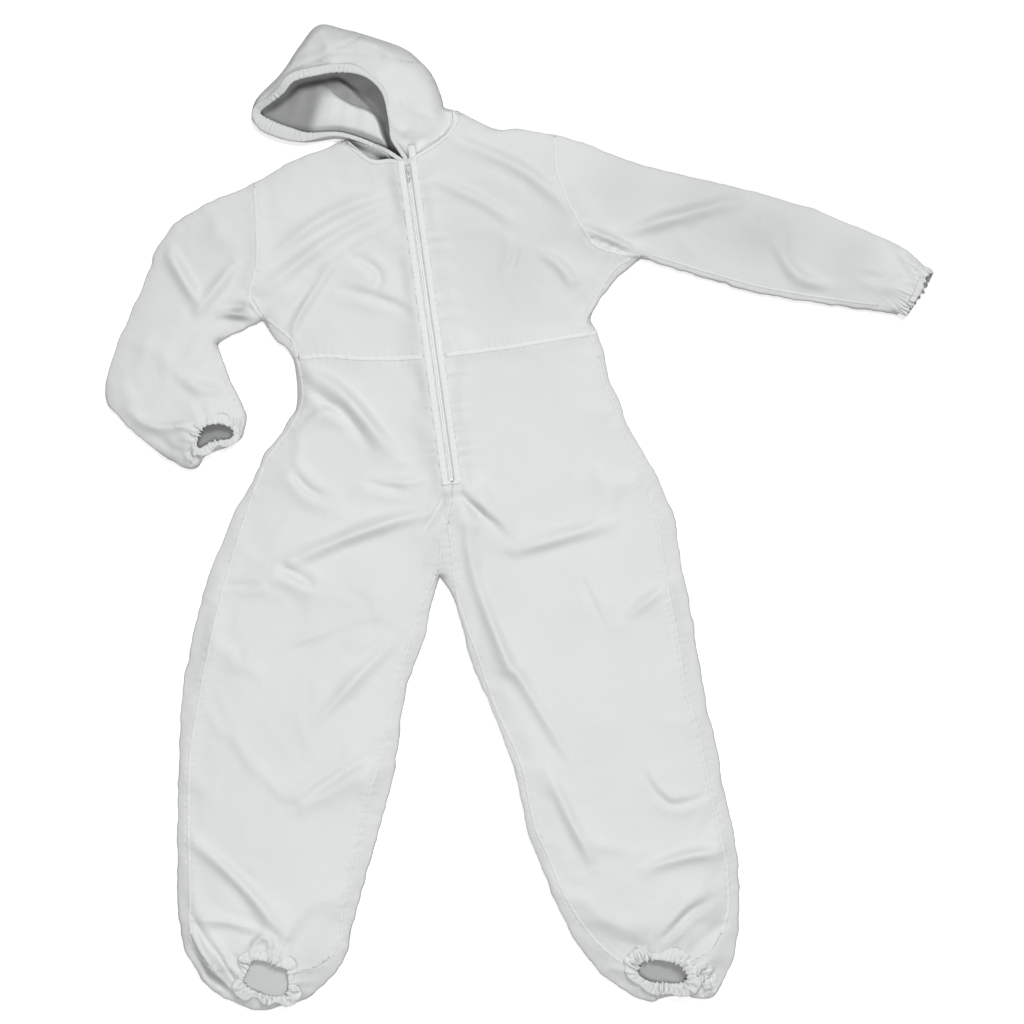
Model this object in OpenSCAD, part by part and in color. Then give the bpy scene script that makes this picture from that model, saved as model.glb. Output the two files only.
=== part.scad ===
// Hooded coverall with elastic wrists, ankles and hood, and a front zip.
// It lies on its back: +Z is up, +Y points to the hood, and the wearer's right is on the side of -X.
// The origin is under the middle of the laid-out suit, on the surface that it lies on.

/* [Overall] */
// Length of the laid-out suit, from hood to ankles
suit_height = 1760; // [1650:10:1900]
// Outer height of the body, sleeves and legs as they lie
loft = 34; // [32:1:40]
// Outer height of the hood's roof as it lies
hood_loft = 60; // [58:1:70]
// Thickness of each panel's solid
panel_t = 3; // [2:0.5:3.5]

/* [Seams] */
// Width of the side seams, inseams and underarm seams
seam_w = 5; // [4:0.5:6]
// Width of the taped seams at the waist, neck and armholes
tape_w = 12; // [8:1:14]
// Height of a taped seam above its panel
tape_t = 1.2; // [0.8:0.2:1.6]

/* [Zip] */
// Width of one zip tape
zip_tape_w = 15; // [13:1:16]
// Width of one coil
coil_w = 2.8; // [2.4:0.1:3]
// Height of the coil
coil_h = 2.3; // [2:0.1:2.4]
// Gap between the two coils
coil_gap = 1.2; // [1.1:0.1:1.4]
// Outer half width of the stitched placket
placket_w = 19; // [17:1:21]
// Length of the slider body
slider_len = 13; // [11:1:14]
// Length of the pull tab from its pivot
pull_len = 19; // [16:1:24]

/* [Elastic openings] */
// Height of the wrist and ankle hems
hem_h = 12; // [10:1:14]
// Inner radius of the right wrist
wrist_r = 25; // [23:1:28]
// Inner radius of the right ankle
ankle_r = 36; // [34:1:38]
// Radial thickness of the wrist and ankle hems
hem_t = 10; // [9:1:12]
// Width of the hem round the face opening
hood_hem_w = 12; // [10:1:12]
// Thickness of the elastic bands
elastic_t = 2; // [1.5:0.5:2.5]

/* [Hidden] */
$fn = 64;
// steps between two points of an outline
steps = 3;
// clearance between bodies that move past each other
clear = 0.5;
// how far a wall runs into the panel that it carries
lap = 0.3;
far = 2000;
size = suit_height / 1760;

function sized(p) = p * size;

// A curve through points: one point of it, the open curve, and the closed loop
function bend(a, b, c, d, t) =
    (2 * b + (c - a) * t + (2 * a - 5 * b + 4 * c - d) * t * t + (3 * b - a - 3 * c + d) * t * t * t) / 2;
function smooth(p) = concat(
    [for (i = [0 : len(p) - 2], j = [0 : steps - 1])
        bend(p[max(i - 1, 0)], p[i], p[i + 1], p[min(i + 2, len(p) - 1)], j / steps)],
    [p[len(p) - 1]]);
function smooth_loop(p) = let (m = len(p))
    [for (i = [0 : m - 1], j = [0 : steps - 1])
        bend(p[(i + m - 1) % m], p[i], p[(i + 1) % m], p[(i + 2) % m], j / steps)];

// The direction across a path at point i, to the left of its run
function across(a, b) = [a.y - b.y, b.x - a.x] / norm(b - a);
function beside(p, off) = [for (i = [0 : len(p) - 1])
    p[i] + off * across(p[max(i - 1, 0)], p[min(i + 1, len(p) - 1)])];
function beside_loop(p, off) = let (m = len(p))
    [for (i = [0 : m - 1]) p[i] + off * across(p[(i + m - 1) % m], p[(i + 1) % m])];
function reversed(p) = [for (i = [len(p) - 1 : -1 : 0]) p[i]];
function moved(p, d) = [for (q = p) q + d];

// Levels above the surface
front_z = loft - panel_t;
wall_h = loft - 2 * panel_t;
roof_z = hood_loft - panel_t;
coil_z = loft - 3.3;
tape_z = coil_z - tape_t;

// Pivots of the hood, sleeves and legs, and the radius of each turning disc
hood_c = sized([-225, 745]);
hood_r = 108 * size;
sleeve_r_c = sized([-540, 445]);
sleeve_r_r = 128 * size;
sleeve_l_c = sized([150, 562]);
sleeve_l_r = 100 * size;
leg_r_c = sized([-350, -100]);
leg_r_r = 200 * size;
leg_l_c = sized([85, -105]);
leg_l_r = 215 * size;

// The zip: its ends, and the centre seam that goes on below it to the crotch
zip_top = sized([-199, 632]);
zip_end = sized([-120, 67]);
zip_len = norm(zip_end - zip_top);
zip_angle = atan2(zip_end.x - zip_top.x, zip_top.y - zip_end.y);
slit_w = 11.2;
slider_y = -11;
centre_seam = smooth(sized([[-118, 50], [-126, 11], [-138, -36], [-141, -100]]));
centre_line = concat([zip_top * 2 - zip_end], [zip_end], centre_seam, [sized([-141, -300])]);

// Stretches of the body's outline. Their ends lie inside the turning discs.
shoulder_right = smooth(sized([[-285, 660], [-312, 662], [-360, 652], [-408, 634], [-479, 594], [-520, 560]]));
side_right = smooth(sized([[-470, 370], [-455, 350], [-434, 318], [-408, 294], [-395, 240],
    [-398, 202], [-417, 166], [-457, 110], [-478, 62], [-470, 20]]));
side_left = smooth(sized([[270, -60], [284, -44], [277, 5], [250, 68], [220, 122], [193, 168],
    [182, 203], [162, 245], [150, 305], [125, 355], [144, 389], [178, 432], [178, 466], [170, 485]]));
shoulder_left = smooth(sized([[110, 640], [122, 667], [76, 683], [2, 694], [-41, 695],
    [-82, 713], [-111, 729], [-140, 738]]));
crotch = sized([[-200, -60], [-141, -104], [-80, -60]]);
body_outline = concat(shoulder_right, side_right, crotch, side_left, shoulder_left);
waist = smooth(sized([[-460, 286], [-343, 290], [-280, 285], [-164, 288], [-34, 303], [73, 321], [220, 345]]));

// Limbs, each from a point inside its disc, along the outer edge, round the end and back inside
sleeve_right = smooth(sized([[-645, 465], [-660, 440], [-705, 341], [-733, 264], [-738, 211], [-698, 163],
    [-660, 131], [-619, 100], [-590, 88], [-565, 98], [-517, 122], [-491, 155], [-488, 181],
    [-496, 205], [-511, 236], [-525, 271], [-539, 312], [-535, 335]]));
sleeve_left_top = smooth(sized([[205, 628], [225, 631], [322, 606], [429, 581], [536, 549], [625, 512],
    [680, 488], [710, 469], [724, 451]]));
sleeve_left_under = smooth(sized([[675, 365], [648, 369], [536, 384], [429, 403], [322, 433], [272, 452],
    [240, 485], [222, 510]]));
sleeve_left = concat(sleeve_left_top, sleeve_left_under);
leg_right_outer = smooth(sized([[-535, -70], [-555, -105], [-571, -160], [-587, -230], [-600, -300],
    [-606, -390], [-610, -545], [-609, -700]]));
leg_right_end = smooth(sized([[-609, -700], [-593, -780], [-545, -846], [-516, -864], [-472, -879],
    [-427, -872], [-383, -860], [-338, -822], [-306, -775], [-300, -738]]));
leg_right_inner = smooth(sized([[-300, -738], [-276, -649], [-244, -535], [-221, -442], [-203, -311],
    [-171, -220], [-157, -156], [-165, -125]]));
leg_left_outer = smooth(sized([[288, -80], [298, -118], [312, -199], [326, -279], [336, -337],
    [351, -395], [363, -465], [380, -547], [391, -620], [393, -680]]));
leg_left_end = smooth(sized([[393, -680], [389, -762], [372, -810], [354, -850], [326, -859], [288, -852],
    [254, -856], [233, -863], [181, -839], [119, -780]]));
leg_left_inner = smooth(sized([[119, -780], [73, -700], [43, -631], [15, -554], [-9, -444], [-49, -337],
    [-84, -259], [-103, -186], [-120, -134], [-115, -115]]));

// The hood's outline from the neck round the crown, its face opening, and its two long seams
hood_front = smooth(sized([[-300, 684], [-324, 679], [-387, 672], [-446, 686], [-472, 706]]));
hood_crown = smooth(sized([[-472, 706], [-476, 727], [-468, 750], [-425, 792], [-390, 843], [-358, 879],
    [-310, 870], [-280, 861]]));
hood_nape = smooth(sized([[-280, 861], [-212, 838], [-184, 817]]));
hood_cheek = smooth(sized([[-184, 817], [-158, 790], [-137, 750], [-134, 735]]));
hood_outline = concat(hood_front, hood_crown, hood_nape, hood_cheek);
neck_side = sized([[-360, 600], [-90, 600], [-90, 736], [-140, 746], [-225, 770], [-320, 690]]);
face_opening = smooth_loop(sized([[-224, 668], [-229, 715], [-243, 754], [-266, 779], [-301, 791],
    [-354, 791], [-405, 777], [-445, 751], [-462, 729], [-446, 713], [-401, 701], [-350, 694],
    [-290, 682], [-246, 666]]));
crown_split = sized([[-520, 640], [-430, 740], [-407, 800], [-356, 820], [-280, 862], [-260, 1000], [-600, 1000]]);
cheek_split = sized([[-320, 760], [-315, 828], [-185, 818], [-60, 830], [-60, 560], [-380, 560], [-380, 700]]);

// Centres of the elastic openings
wrist_right_c = sized([-535, 150]);
wrist_left_c = sized([709, 403]);
wrist_left_turn = -30;
ankle_right_c = sized([-450, -818]);
ankle_left_c = sized([252, -808]);
ankle_left_turn = 4;
wrist_left_half = 28;
ankle_left_half = 20;
ankle_left_r = 22;

// ---- shared shapes ----

module fabric() {
    color([0.87, 0.88, 0.87]) children();
}

module seam() {
    color([0.94, 0.95, 0.94]) children();
}

module elastic() {
    color([0.8, 0.82, 0.82]) children();
}

module metal() {
    color([0.7, 0.71, 0.72]) children();
}

module slab(outline, z, h = panel_t) {
    translate([0, 0, z]) linear_extrude(height = h) polygon(outline);
}

module wall(path, w, z, h) {
    slab(concat(beside(path, w / 2), reversed(beside(path, -w / 2))), z, h);
}

module disc(c, r, z, h) {
    translate([c.x, c.y, z]) cylinder(h = h, r = r);
}

// A limb's panel: the turning disc joined to the limb's outline
module limb(outline, c, r, z) {
    union() {
        disc(c, r, z, panel_t);
        slab(outline, z);
    }
}

// A flat loop with two straight sides: half_l is half their length, r the end radius
module loop_2d(half_l, r) {
    union() {
        for (s = [-1, 1]) translate([s * half_l, 0]) circle(r = r);
        if (half_l > 0) square([2 * half_l, 2 * r], center = true);
    }
}

// A hem: a loop with a groove on its inner side, where the elastic lies
module hem(half_l, r, h) {
    difference() {
        linear_extrude(height = h) loop_2d(half_l, r + hem_t);
        translate([0, 0, -1]) linear_extrude(height = h + 2) loop_2d(half_l, r);
        translate([0, 0, 3]) linear_extrude(height = h - 6) loop_2d(half_l, r + hem_t - 2.5);
    }
}

module band(half_l, r, h) {
    translate([0, 0, 3.5]) difference() {
        linear_extrude(height = h - 7) loop_2d(half_l, r + hem_t - 3);
        translate([0, 0, -1]) linear_extrude(height = h) loop_2d(half_l, r + hem_t - 3 - elastic_t);
    }
}

module on_front(c, turn = 0) {
    translate([c.x, c.y, loft]) rotate([0, 0, turn]) children();
}

module at_left_wrist() {
    translate([wrist_left_c.x, wrist_left_c.y, loft / 2])
        rotate([0, 0, wrist_left_turn]) rotate([90, 0, 90]) translate([0, 0, -hem_h / 2]) children();
}

// The zip's own frame: its top is the origin and it runs along -Y
module on_zip(z = 0) {
    translate([zip_top.x, zip_top.y, z]) rotate([0, 0, zip_angle]) children();
}

// ---- body ----

module body_slab(z) {
    difference() {
        slab(body_outline, z);
        disc(hood_c, hood_r + 2.5, z - 1, panel_t + 2);
        disc(sleeve_r_c, sleeve_r_r + clear, z - 1, panel_t + 2);
        disc(sleeve_l_c, sleeve_l_r + clear, z - 1, panel_t + 2);
        disc(leg_r_c, leg_r_r + clear, z - 1, panel_t + 2);
        disc(leg_l_c, leg_l_r + clear, z - 1, panel_t + 2);
    }
}

// What lies above (side 1) or below (side -1) the waist seam
module past_waist(side) {
    line = moved(waist, [0, side * 0.5]);
    slab(concat([[-far, line[0].y]], line, [[far, line[len(line) - 1].y], [far, side * far], [-far, side * far]]),
        -1, loft + 2);
}

// What lies on the wearer's right (side -1) or left (side 1) of the centre line
module past_centre(side) {
    line = moved(centre_line, [side * 0.5, 0]);
    slab(concat(line, [[side * far, -far], [side * far, far]]), -1, loft + 2);
}

module zip_slit() {
    on_zip(front_z - 1) translate([-slit_w / 2, -zip_len - 6, 0]) cube([slit_w, zip_len + 60, panel_t + 2]);
}

module front_panel(side, level) {
    fabric() difference() {
        intersection() {
            body_slab(front_z);
            past_waist(level);
            past_centre(side);
        }
        zip_slit();
    }
}

module back_bodice() {
    fabric() intersection() {
        body_slab(0);
        past_waist(1);
    }
}

module back_seat() {
    fabric() intersection() {
        body_slab(0);
        past_waist(-1);
    }
}

module right_front_bodice() {
    front_panel(-1, 1);
}

module left_front_bodice() {
    front_panel(1, 1);
}

module right_front_seat() {
    front_panel(-1, -1);
}

module left_front_seat() {
    front_panel(1, -1);
}

module waist_seam_tape() {
    seam() difference() {
        intersection() {
            wall(waist, tape_w, loft, tape_t);
            slab(sized([[-398, 200], [146, 200], [146, 400], [-398, 400]]), loft - 1, 4);
        }
        on_zip(loft - 1) translate([-placket_w - 0.5, -zip_len, 0]) cube([2 * placket_w + 1, zip_len, 4]);
    }
}

module centre_front_seam() {
    seam() union() {
        wall(smooth(sized([[-120, 38], [-127, 5], [-138, -40], [-141, -92]])), seam_w, loft, tape_t);
        wall(sized([[-141, -66], [-141, -92]]), seam_w, panel_t, wall_h);
    }
}

module right_side_seam() {
    seam() wall(smooth(sized([[-440, 340], [-425, 316], [-399, 288], [-388, 240], [-391, 204], [-410, 170],
        [-450, 114], [-468, 74]])), seam_w, panel_t, wall_h);
}

module left_side_seam() {
    seam() wall(smooth(sized([[265, 20], [244, 64], [213, 120], [186, 166], [175, 200], [155, 242],
        [143, 305], [118, 355], [138, 393], [168, 432], [168, 452]])), seam_w, panel_t, wall_h);
}

// The neck seam stands round the hood's turning disc, and is open where the zip ends
module neck_seam_tape() {
    inner = hood_r + 3;
    outer = hood_r + 6.5;
    seam() difference() {
        intersection() {
            disc(hood_c, outer, loft, roof_z - loft - 1);
            slab(sized([[-300, 660], [-90, 724], [-90, 500], [-330, 500], [-330, 640]]), 0, hood_loft);
        }
        disc(hood_c, inner, loft - 1, roof_z);
        on_zip(0) translate([-9, -30, 0]) cube([18, 60, hood_loft]);
    }
}

// ---- zip ----

module zip_tape(side) {
    seam() on_zip(tape_z) translate([side > 0 ? 0.8 : -0.8 - zip_tape_w, -zip_len, 0])
        cube([zip_tape_w, zip_len, tape_t]);
}

module right_zip_tape() {
    zip_tape(-1);
}

module left_zip_tape() {
    zip_tape(1);
}

module coil(side) {
    seam() on_zip(coil_z) translate([side > 0 ? coil_gap / 2 : -coil_gap / 2 - coil_w, -zip_len + 4.5, 0])
        cube([coil_w, zip_len - 7, coil_h]);
}

module right_coil() {
    coil(-1);
}

module left_coil() {
    coil(1);
}

module zip_top_stops() {
    metal() on_zip(coil_z) for (s = [0, 1]) mirror([s, 0, 0])
        translate([coil_gap / 2, -2.2, 0]) cube([coil_w, 2, coil_h + 0.3]);
}

module zip_bottom_stop() {
    w = 2 * coil_w + coil_gap;
    metal() on_zip(coil_z) translate([-w / 2, -zip_len, 0]) cube([w, 4.2, coil_h + 0.3]);
}

module right_placket() {
    seam() on_zip(loft) translate([-placket_w, -zip_len - 4, 0])
        cube([placket_w - slit_w / 2, zip_len - 3, tape_t]);
}

module left_placket() {
    seam() on_zip(loft) union() {
        translate([slit_w / 2, -zip_len - 4, 0]) cube([placket_w - slit_w / 2, zip_len - 3, tape_t]);
        translate([-placket_w, -zip_len - 18, 0]) cube([2 * placket_w, 13.6, tape_t]);
        translate([slit_w / 2, -zip_len - 5, 0]) cube([placket_w - slit_w / 2, 2, tape_t]);
    }
}

// One plate of the slider: wide shoulders at the top, narrow at the bottom
module slider_plate(z, h) {
    l = slider_len / 2;
    slab([[-3, l], [-4.8, l - 1.6], [-4.8, l - 4], [-4, -l + 1], [-3, -l], [3, -l], [4, -l + 1],
        [4.8, l - 4], [4.8, l - 1.6], [3, l]], z, h);
}

module on_slider() {
    on_zip(coil_z) translate([0, slider_y, 0]) children();
}

slider_top = coil_h + 0.5;
slider_t = 1.6;

module slider_body() {
    below = tape_t + 0.4 + slider_t;
    metal() on_slider() union() {
        slider_plate(-below, slider_t);
        slider_plate(slider_top, slider_t);
        for (s = [0, 1]) mirror([s, 0, 0]) translate([coil_gap / 2 + coil_w + 0.35, -slider_len / 2 + 2.5, 0.4])
            cube([0.8, slider_len - 6, slider_top - 0.3]);
        translate([-0.35, slider_len / 2 - 4.5, -below + 0.1]) cube([0.7, 3, below + slider_top]);
    }
}

bail_z = slider_top + slider_t;
bail_w = 2;
bail_half = 4.8;
bail_rise = 3.4;
bar = 1.2;

module slider_bail() {
    metal() on_slider() translate([0, 0, bail_z]) difference() {
        translate([-bail_w / 2, -bail_half, 0]) cube([bail_w, 2 * bail_half, bail_rise + bar]);
        translate([-bail_w, bar - bail_half, -1]) cube([2 * bail_w, 2 * (bail_half - bar), bail_rise + 1]);
    }
}

pull_w = 6.4;
pull_t = 1.2;
eye_len = 9;
pivot_y = bar - bail_half + 1.05;
pivot_z = bail_z + 1.15;

module pull_tab() {
    rod = 0.7;
    metal() on_slider() translate([0, pivot_y, pivot_z]) union() {
        translate([-pull_w / 2, 0, 0]) rotate([0, 90, 0]) cylinder(h = pull_w, r = rod, $fn = 24);
        for (s = [0, 1]) mirror([s, 0, 0]) translate([bail_w / 2 + 0.5, -eye_len, -pull_t / 2])
            cube([(pull_w - bail_w) / 2 - 0.5, eye_len, pull_t]);
        difference() {
            union() {
                translate([-pull_w / 2, -pull_len + pull_w / 2, -pull_t / 2])
                    cube([pull_w, pull_len - eye_len - pull_w / 2, pull_t]);
                translate([0, -pull_len + pull_w / 2, -pull_t / 2]) cylinder(h = pull_t, r = pull_w / 2);
            }
            translate([0, -pull_len + pull_w / 2 + 0.4, -pull_t]) cylinder(h = 2 * pull_t, r = 1.4);
        }
    }
}

// ---- hood ----

module hood_slab(z) {
    union() {
        slab(hood_outline, z);
        intersection() {
            disc(hood_c, hood_r, z, panel_t);
            slab(neck_side, z - 1, panel_t + 2);
        }
    }
}

module hood_roof() {
    difference() {
        hood_slab(roof_z);
        slab(face_opening, roof_z - 1, panel_t + 2);
    }
}

hood_wall_t = 4;
hood_wall_in = 2.2;

module hood_wall(path) {
    wall(beside(path, -hood_wall_in), hood_wall_t, panel_t, roof_z - panel_t);
}

module hood_right_panel() {
    fabric() union() {
        hood_slab(0);
        hood_wall(hood_front);
        hood_wall(hood_crown);
        intersection() {
            hood_roof();
            slab(crown_split, roof_z - 1, panel_t + 2);
        }
    }
}

module hood_centre_panel() {
    fabric() union() {
        translate([0, 0, lap]) difference() {
            hood_wall(hood_nape);
            slab(crown_split, -1, far);
            slab(cheek_split, -1, far);
        }
        difference() {
            hood_roof();
            slab(crown_split, roof_z - 1, panel_t + 2);
            slab(cheek_split, roof_z - 1, panel_t + 2);
        }
    }
}

module hood_left_panel() {
    fabric() union() {
        translate([0, 0, lap]) intersection() {
            hood_wall(hood_cheek);
            slab(cheek_split, -1, far);
        }
        difference() {
            intersection() {
                hood_roof();
                slab(cheek_split, roof_z - 1, panel_t + 2);
            }
            slab(crown_split, roof_z - 2, panel_t + 4);
        }
    }
}

module hood_hem() {
    h = 8;
    seam() difference() {
        slab(beside_loop(face_opening, -hood_hem_w), hood_loft, h);
        slab(face_opening, hood_loft - 1, h + 2);
        slab(beside_loop(face_opening, -hood_hem_w + 2.5), hood_loft + 2, h - 4);
    }
}

module hood_elastic() {
    elastic() difference() {
        slab(beside_loop(face_opening, -hood_hem_w + 3), hood_loft + 2.5, 3);
        slab(beside_loop(face_opening, -hood_hem_w + 3 + elastic_t), hood_loft + 1, 6);
    }
}

// ---- sleeves ----

module right_sleeve_front() {
    fabric() difference() {
        limb(sleeve_right, sleeve_r_c, sleeve_r_r, front_z);
        disc(wrist_right_c, wrist_r, front_z - 1, panel_t + 2);
    }
}

module right_sleeve_back() {
    fabric() union() {
        limb(sleeve_right, sleeve_r_c, sleeve_r_r, 0);
        wall(smooth(sized([[-660, 428], [-700, 341], [-727, 264], [-731, 213], [-694, 169], [-656, 137],
            [-617, 107], [-590, 95]])), seam_w, panel_t - 0.01, wall_h - lap);
    }
}

module right_armhole_seam() {
    seam() wall(smooth(sized([[-473, 540], [-467, 500], [-466, 462], [-472, 424], [-482, 390], [-480, 352]])),
        tape_w, loft, tape_t);
}

module right_underarm_seam() {
    seam() wall(smooth(sized([[-542, 318], [-532, 271], [-518, 234], [-503, 203], [-496, 180], [-498, 158],
        [-517, 128], [-565, 106]])), seam_w, panel_t, wall_h);
}

module right_wrist_hem() {
    seam() on_front(wrist_right_c) hem(0, wrist_r, hem_h);
}

module right_wrist_elastic() {
    elastic() on_front(wrist_right_c) band(0, wrist_r, hem_h);
}

module left_sleeve_front() {
    fabric() limb(sleeve_left, sleeve_l_c, sleeve_l_r, front_z);
}

module left_sleeve_back() {
    fabric() union() {
        limb(sleeve_left, sleeve_l_c, sleeve_l_r, 0);
        wall(smooth(sized([[238, 620], [322, 599], [429, 574], [536, 542], [625, 505], [676, 481], [700, 463]])),
            seam_w, panel_t - 0.01, wall_h - lap);
    }
}

module left_armhole_seam() {
    seam() wall(smooth(sized([[80, 612], [79, 592], [88, 565], [104, 538], [132, 487], [140, 476]])),
        tape_w, loft, tape_t);
}

module left_underarm_seam() {
    seam() wall(smooth(sized([[250, 485], [280, 457], [325, 440], [431, 410], [537, 391], [640, 377]])),
        seam_w, panel_t, wall_h);
}

module left_wrist_hem() {
    seam() at_left_wrist() hem(wrist_left_half, loft / 2 - hem_t - 0.5, hem_h);
}

module left_wrist_elastic() {
    elastic() at_left_wrist() band(wrist_left_half, loft / 2 - hem_t - 0.5, hem_h);
}

// ---- legs ----

leg_right = concat(leg_right_outer, leg_right_end, leg_right_inner);
leg_left = concat(leg_left_outer, leg_left_end, leg_left_inner);

module right_leg_front() {
    fabric() difference() {
        union() {
            limb(leg_right, leg_r_c, leg_r_r, front_z);
            wall(beside(leg_right_end, 4.5), seam_w, panel_t + lap, wall_h);
        }
        disc(ankle_right_c, ankle_r, front_z - 1, panel_t + 2);
    }
}

module right_leg_back() {
    fabric() limb(leg_right, leg_r_c, leg_r_r, 0);
}

module right_outer_seam() {
    seam() wall(smooth(sized([[-558, -135], [-564, -160], [-580, -230], [-593, -300], [-599, -390],
        [-603, -545], [-602, -690]])), seam_w, panel_t, wall_h);
}

module right_inseam() {
    seam() wall(smooth(sized([[-308, -730], [-284, -649], [-252, -535], [-229, -442], [-211, -311],
        [-179, -222], [-168, -180]])), seam_w, panel_t, wall_h);
}

module right_ankle_hem() {
    seam() on_front(ankle_right_c) hem(0, ankle_r, hem_h);
}

module right_ankle_elastic() {
    elastic() on_front(ankle_right_c) band(0, ankle_r, hem_h);
}

module left_leg_front() {
    fabric() difference() {
        union() {
            limb(leg_left, leg_l_c, leg_l_r, front_z);
            wall(beside(leg_left_end, -4.5), seam_w, panel_t + lap, wall_h);
        }
        on_front(ankle_left_c, ankle_left_turn) translate([0, 0, -panel_t - 1])
            linear_extrude(height = panel_t + 2) loop_2d(ankle_left_half, ankle_left_r);
    }
}

module left_leg_back() {
    fabric() limb(leg_left, leg_l_c, leg_l_r, 0);
}

module left_outer_seam() {
    seam() wall(smooth(sized([[298, -165], [305, -199], [319, -279], [329, -337], [344, -397],
        [356, -465], [373, -547], [384, -620], [386, -672]])), seam_w, panel_t, wall_h);
}

module left_inseam() {
    seam() wall(smooth(sized([[119, -768], [81, -700], [51, -631], [23, -554], [-1, -444], [-41, -334],
        [-76, -257], [-94, -195]])), seam_w, panel_t, wall_h);
}

module left_ankle_hem() {
    seam() on_front(ankle_left_c, ankle_left_turn) hem(ankle_left_half, ankle_left_r, hem_h);
}

module left_ankle_elastic() {
    elastic() on_front(ankle_left_c, ankle_left_turn) band(ankle_left_half, ankle_left_r, hem_h);
}

back_bodice();
right_front_bodice();
left_front_bodice();
waist_seam_tape();
back_seat();
right_front_seat();
left_front_seat();
centre_front_seam();
right_side_seam();
left_side_seam();
neck_seam_tape();
right_zip_tape();
left_zip_tape();
right_coil();
left_coil();
zip_top_stops();
zip_bottom_stop();
right_placket();
left_placket();
slider_body();
slider_bail();
pull_tab();
hood_right_panel();
hood_centre_panel();
hood_left_panel();
hood_hem();
hood_elastic();
right_sleeve_front();
right_sleeve_back();
right_armhole_seam();
right_underarm_seam();
right_wrist_hem();
right_wrist_elastic();
left_sleeve_front();
left_sleeve_back();
left_armhole_seam();
left_underarm_seam();
left_wrist_hem();
left_wrist_elastic();
right_leg_front();
right_leg_back();
right_outer_seam();
right_inseam();
right_ankle_hem();
right_ankle_elastic();
left_leg_front();
left_leg_back();
left_outer_seam();
left_inseam();
left_ankle_hem();
left_ankle_elastic();
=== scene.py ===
"""Hooded coverall laid flat on its back: cloth panels, seams, gathered hems and zip round the CAD frame.

Outlines are in millimetres in the CAD frame, and turn into metres where a mesh is made.
Left and right are the wearer's, so the wearer's right is on the side of -X.
"""
import math

import bpy
import numpy as np
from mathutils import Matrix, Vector
from mathutils.bvhtree import BVHTree
from mathutils.geometry import delaunay_2d_cdt


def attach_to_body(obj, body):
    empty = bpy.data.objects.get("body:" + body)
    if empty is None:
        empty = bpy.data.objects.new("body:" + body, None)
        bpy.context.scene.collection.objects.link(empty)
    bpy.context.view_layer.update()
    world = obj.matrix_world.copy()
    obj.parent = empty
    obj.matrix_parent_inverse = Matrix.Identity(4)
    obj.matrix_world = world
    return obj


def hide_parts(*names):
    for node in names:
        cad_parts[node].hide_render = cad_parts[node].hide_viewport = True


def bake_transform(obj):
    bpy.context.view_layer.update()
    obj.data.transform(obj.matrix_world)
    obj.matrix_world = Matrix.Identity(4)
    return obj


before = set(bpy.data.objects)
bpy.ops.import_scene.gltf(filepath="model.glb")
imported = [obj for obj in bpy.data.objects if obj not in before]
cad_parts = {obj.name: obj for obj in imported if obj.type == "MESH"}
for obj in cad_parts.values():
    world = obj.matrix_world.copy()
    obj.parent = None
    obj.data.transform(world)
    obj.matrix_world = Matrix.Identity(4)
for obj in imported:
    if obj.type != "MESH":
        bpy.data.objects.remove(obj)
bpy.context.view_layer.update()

MM = 0.001
RNG = np.random.default_rng(7)

# ---------------------------------------------------------------- sizes (mm)

LOFT = 34.0                # outer height of the body, from the CAD model
EDGE_Z = 6.0               # height of the folded edge where front and back meet
EDGE_RISE = 11.0           # how far the rounded edge rises, over EDGE_ROUND
EDGE_ROUND = 8.0
RISE_RUN = 36.0            # how far in from the edge most of the further rise is done
BACK_Z = 1.2               # height of the back layer on the floor
GRID = 7.5                 # mesh spacing on the open cloth
FINE_GRID = 4.5            # mesh spacing near the gathered hems
NEAR_HEM = 48.0            # how far from a hem the fine spacing reaches
HOOD_GRID = 5.0            # mesh spacing on the hood
HOOD_GAP = 3.2             # least distance there between a grid point and a line
BACK_GRID = 17.0           # the same two for the back layer
BACK_GAP = 9.0
ON_LINE = 1.5              # points this near to a line count as on it
SEAM_HOLD = 0.35           # how firmly a seam holds the cloth while it settles, where 1 is fixed
UNDULATION = 2.6           # height of the slow waves in the cloth, and their length
UNDULATION_LEN = 150.0
FOLD_GAIN = 2.0            # how much stronger the folds below are drawn than listed
CLOTH_T = 0.35             # thickness of the cloth
EDGE_STEP = 7.0            # spacing of points on the outlines
TAPE_W = 9.0               # width of a taped seam
ZIP_TOP = np.array([-199.0, 632.0])    # where the zip starts and ends
ZIP_END = np.array([-120.0, 67.0])
SLIT = 7.5                 # half width of the slit in the cloth, under the plackets
PLACKET = 18.0             # half width of both plackets together
PLACKET_Z = 34.6           # height of the plackets, over the zip tapes
STITCH_GAP = 3.6           # from one stitch to the next
HEM_W = 13.0               # width of a gathered hem
SHADED_INSIDE_REACH = 14.0        # how far round an opening the cloth's inside has the lining material, which paints shade there
SHADED_INSIDE_TOP = 30.0          # and up to which height

# ---------------------------------------------------------------- outlines (mm)

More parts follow.
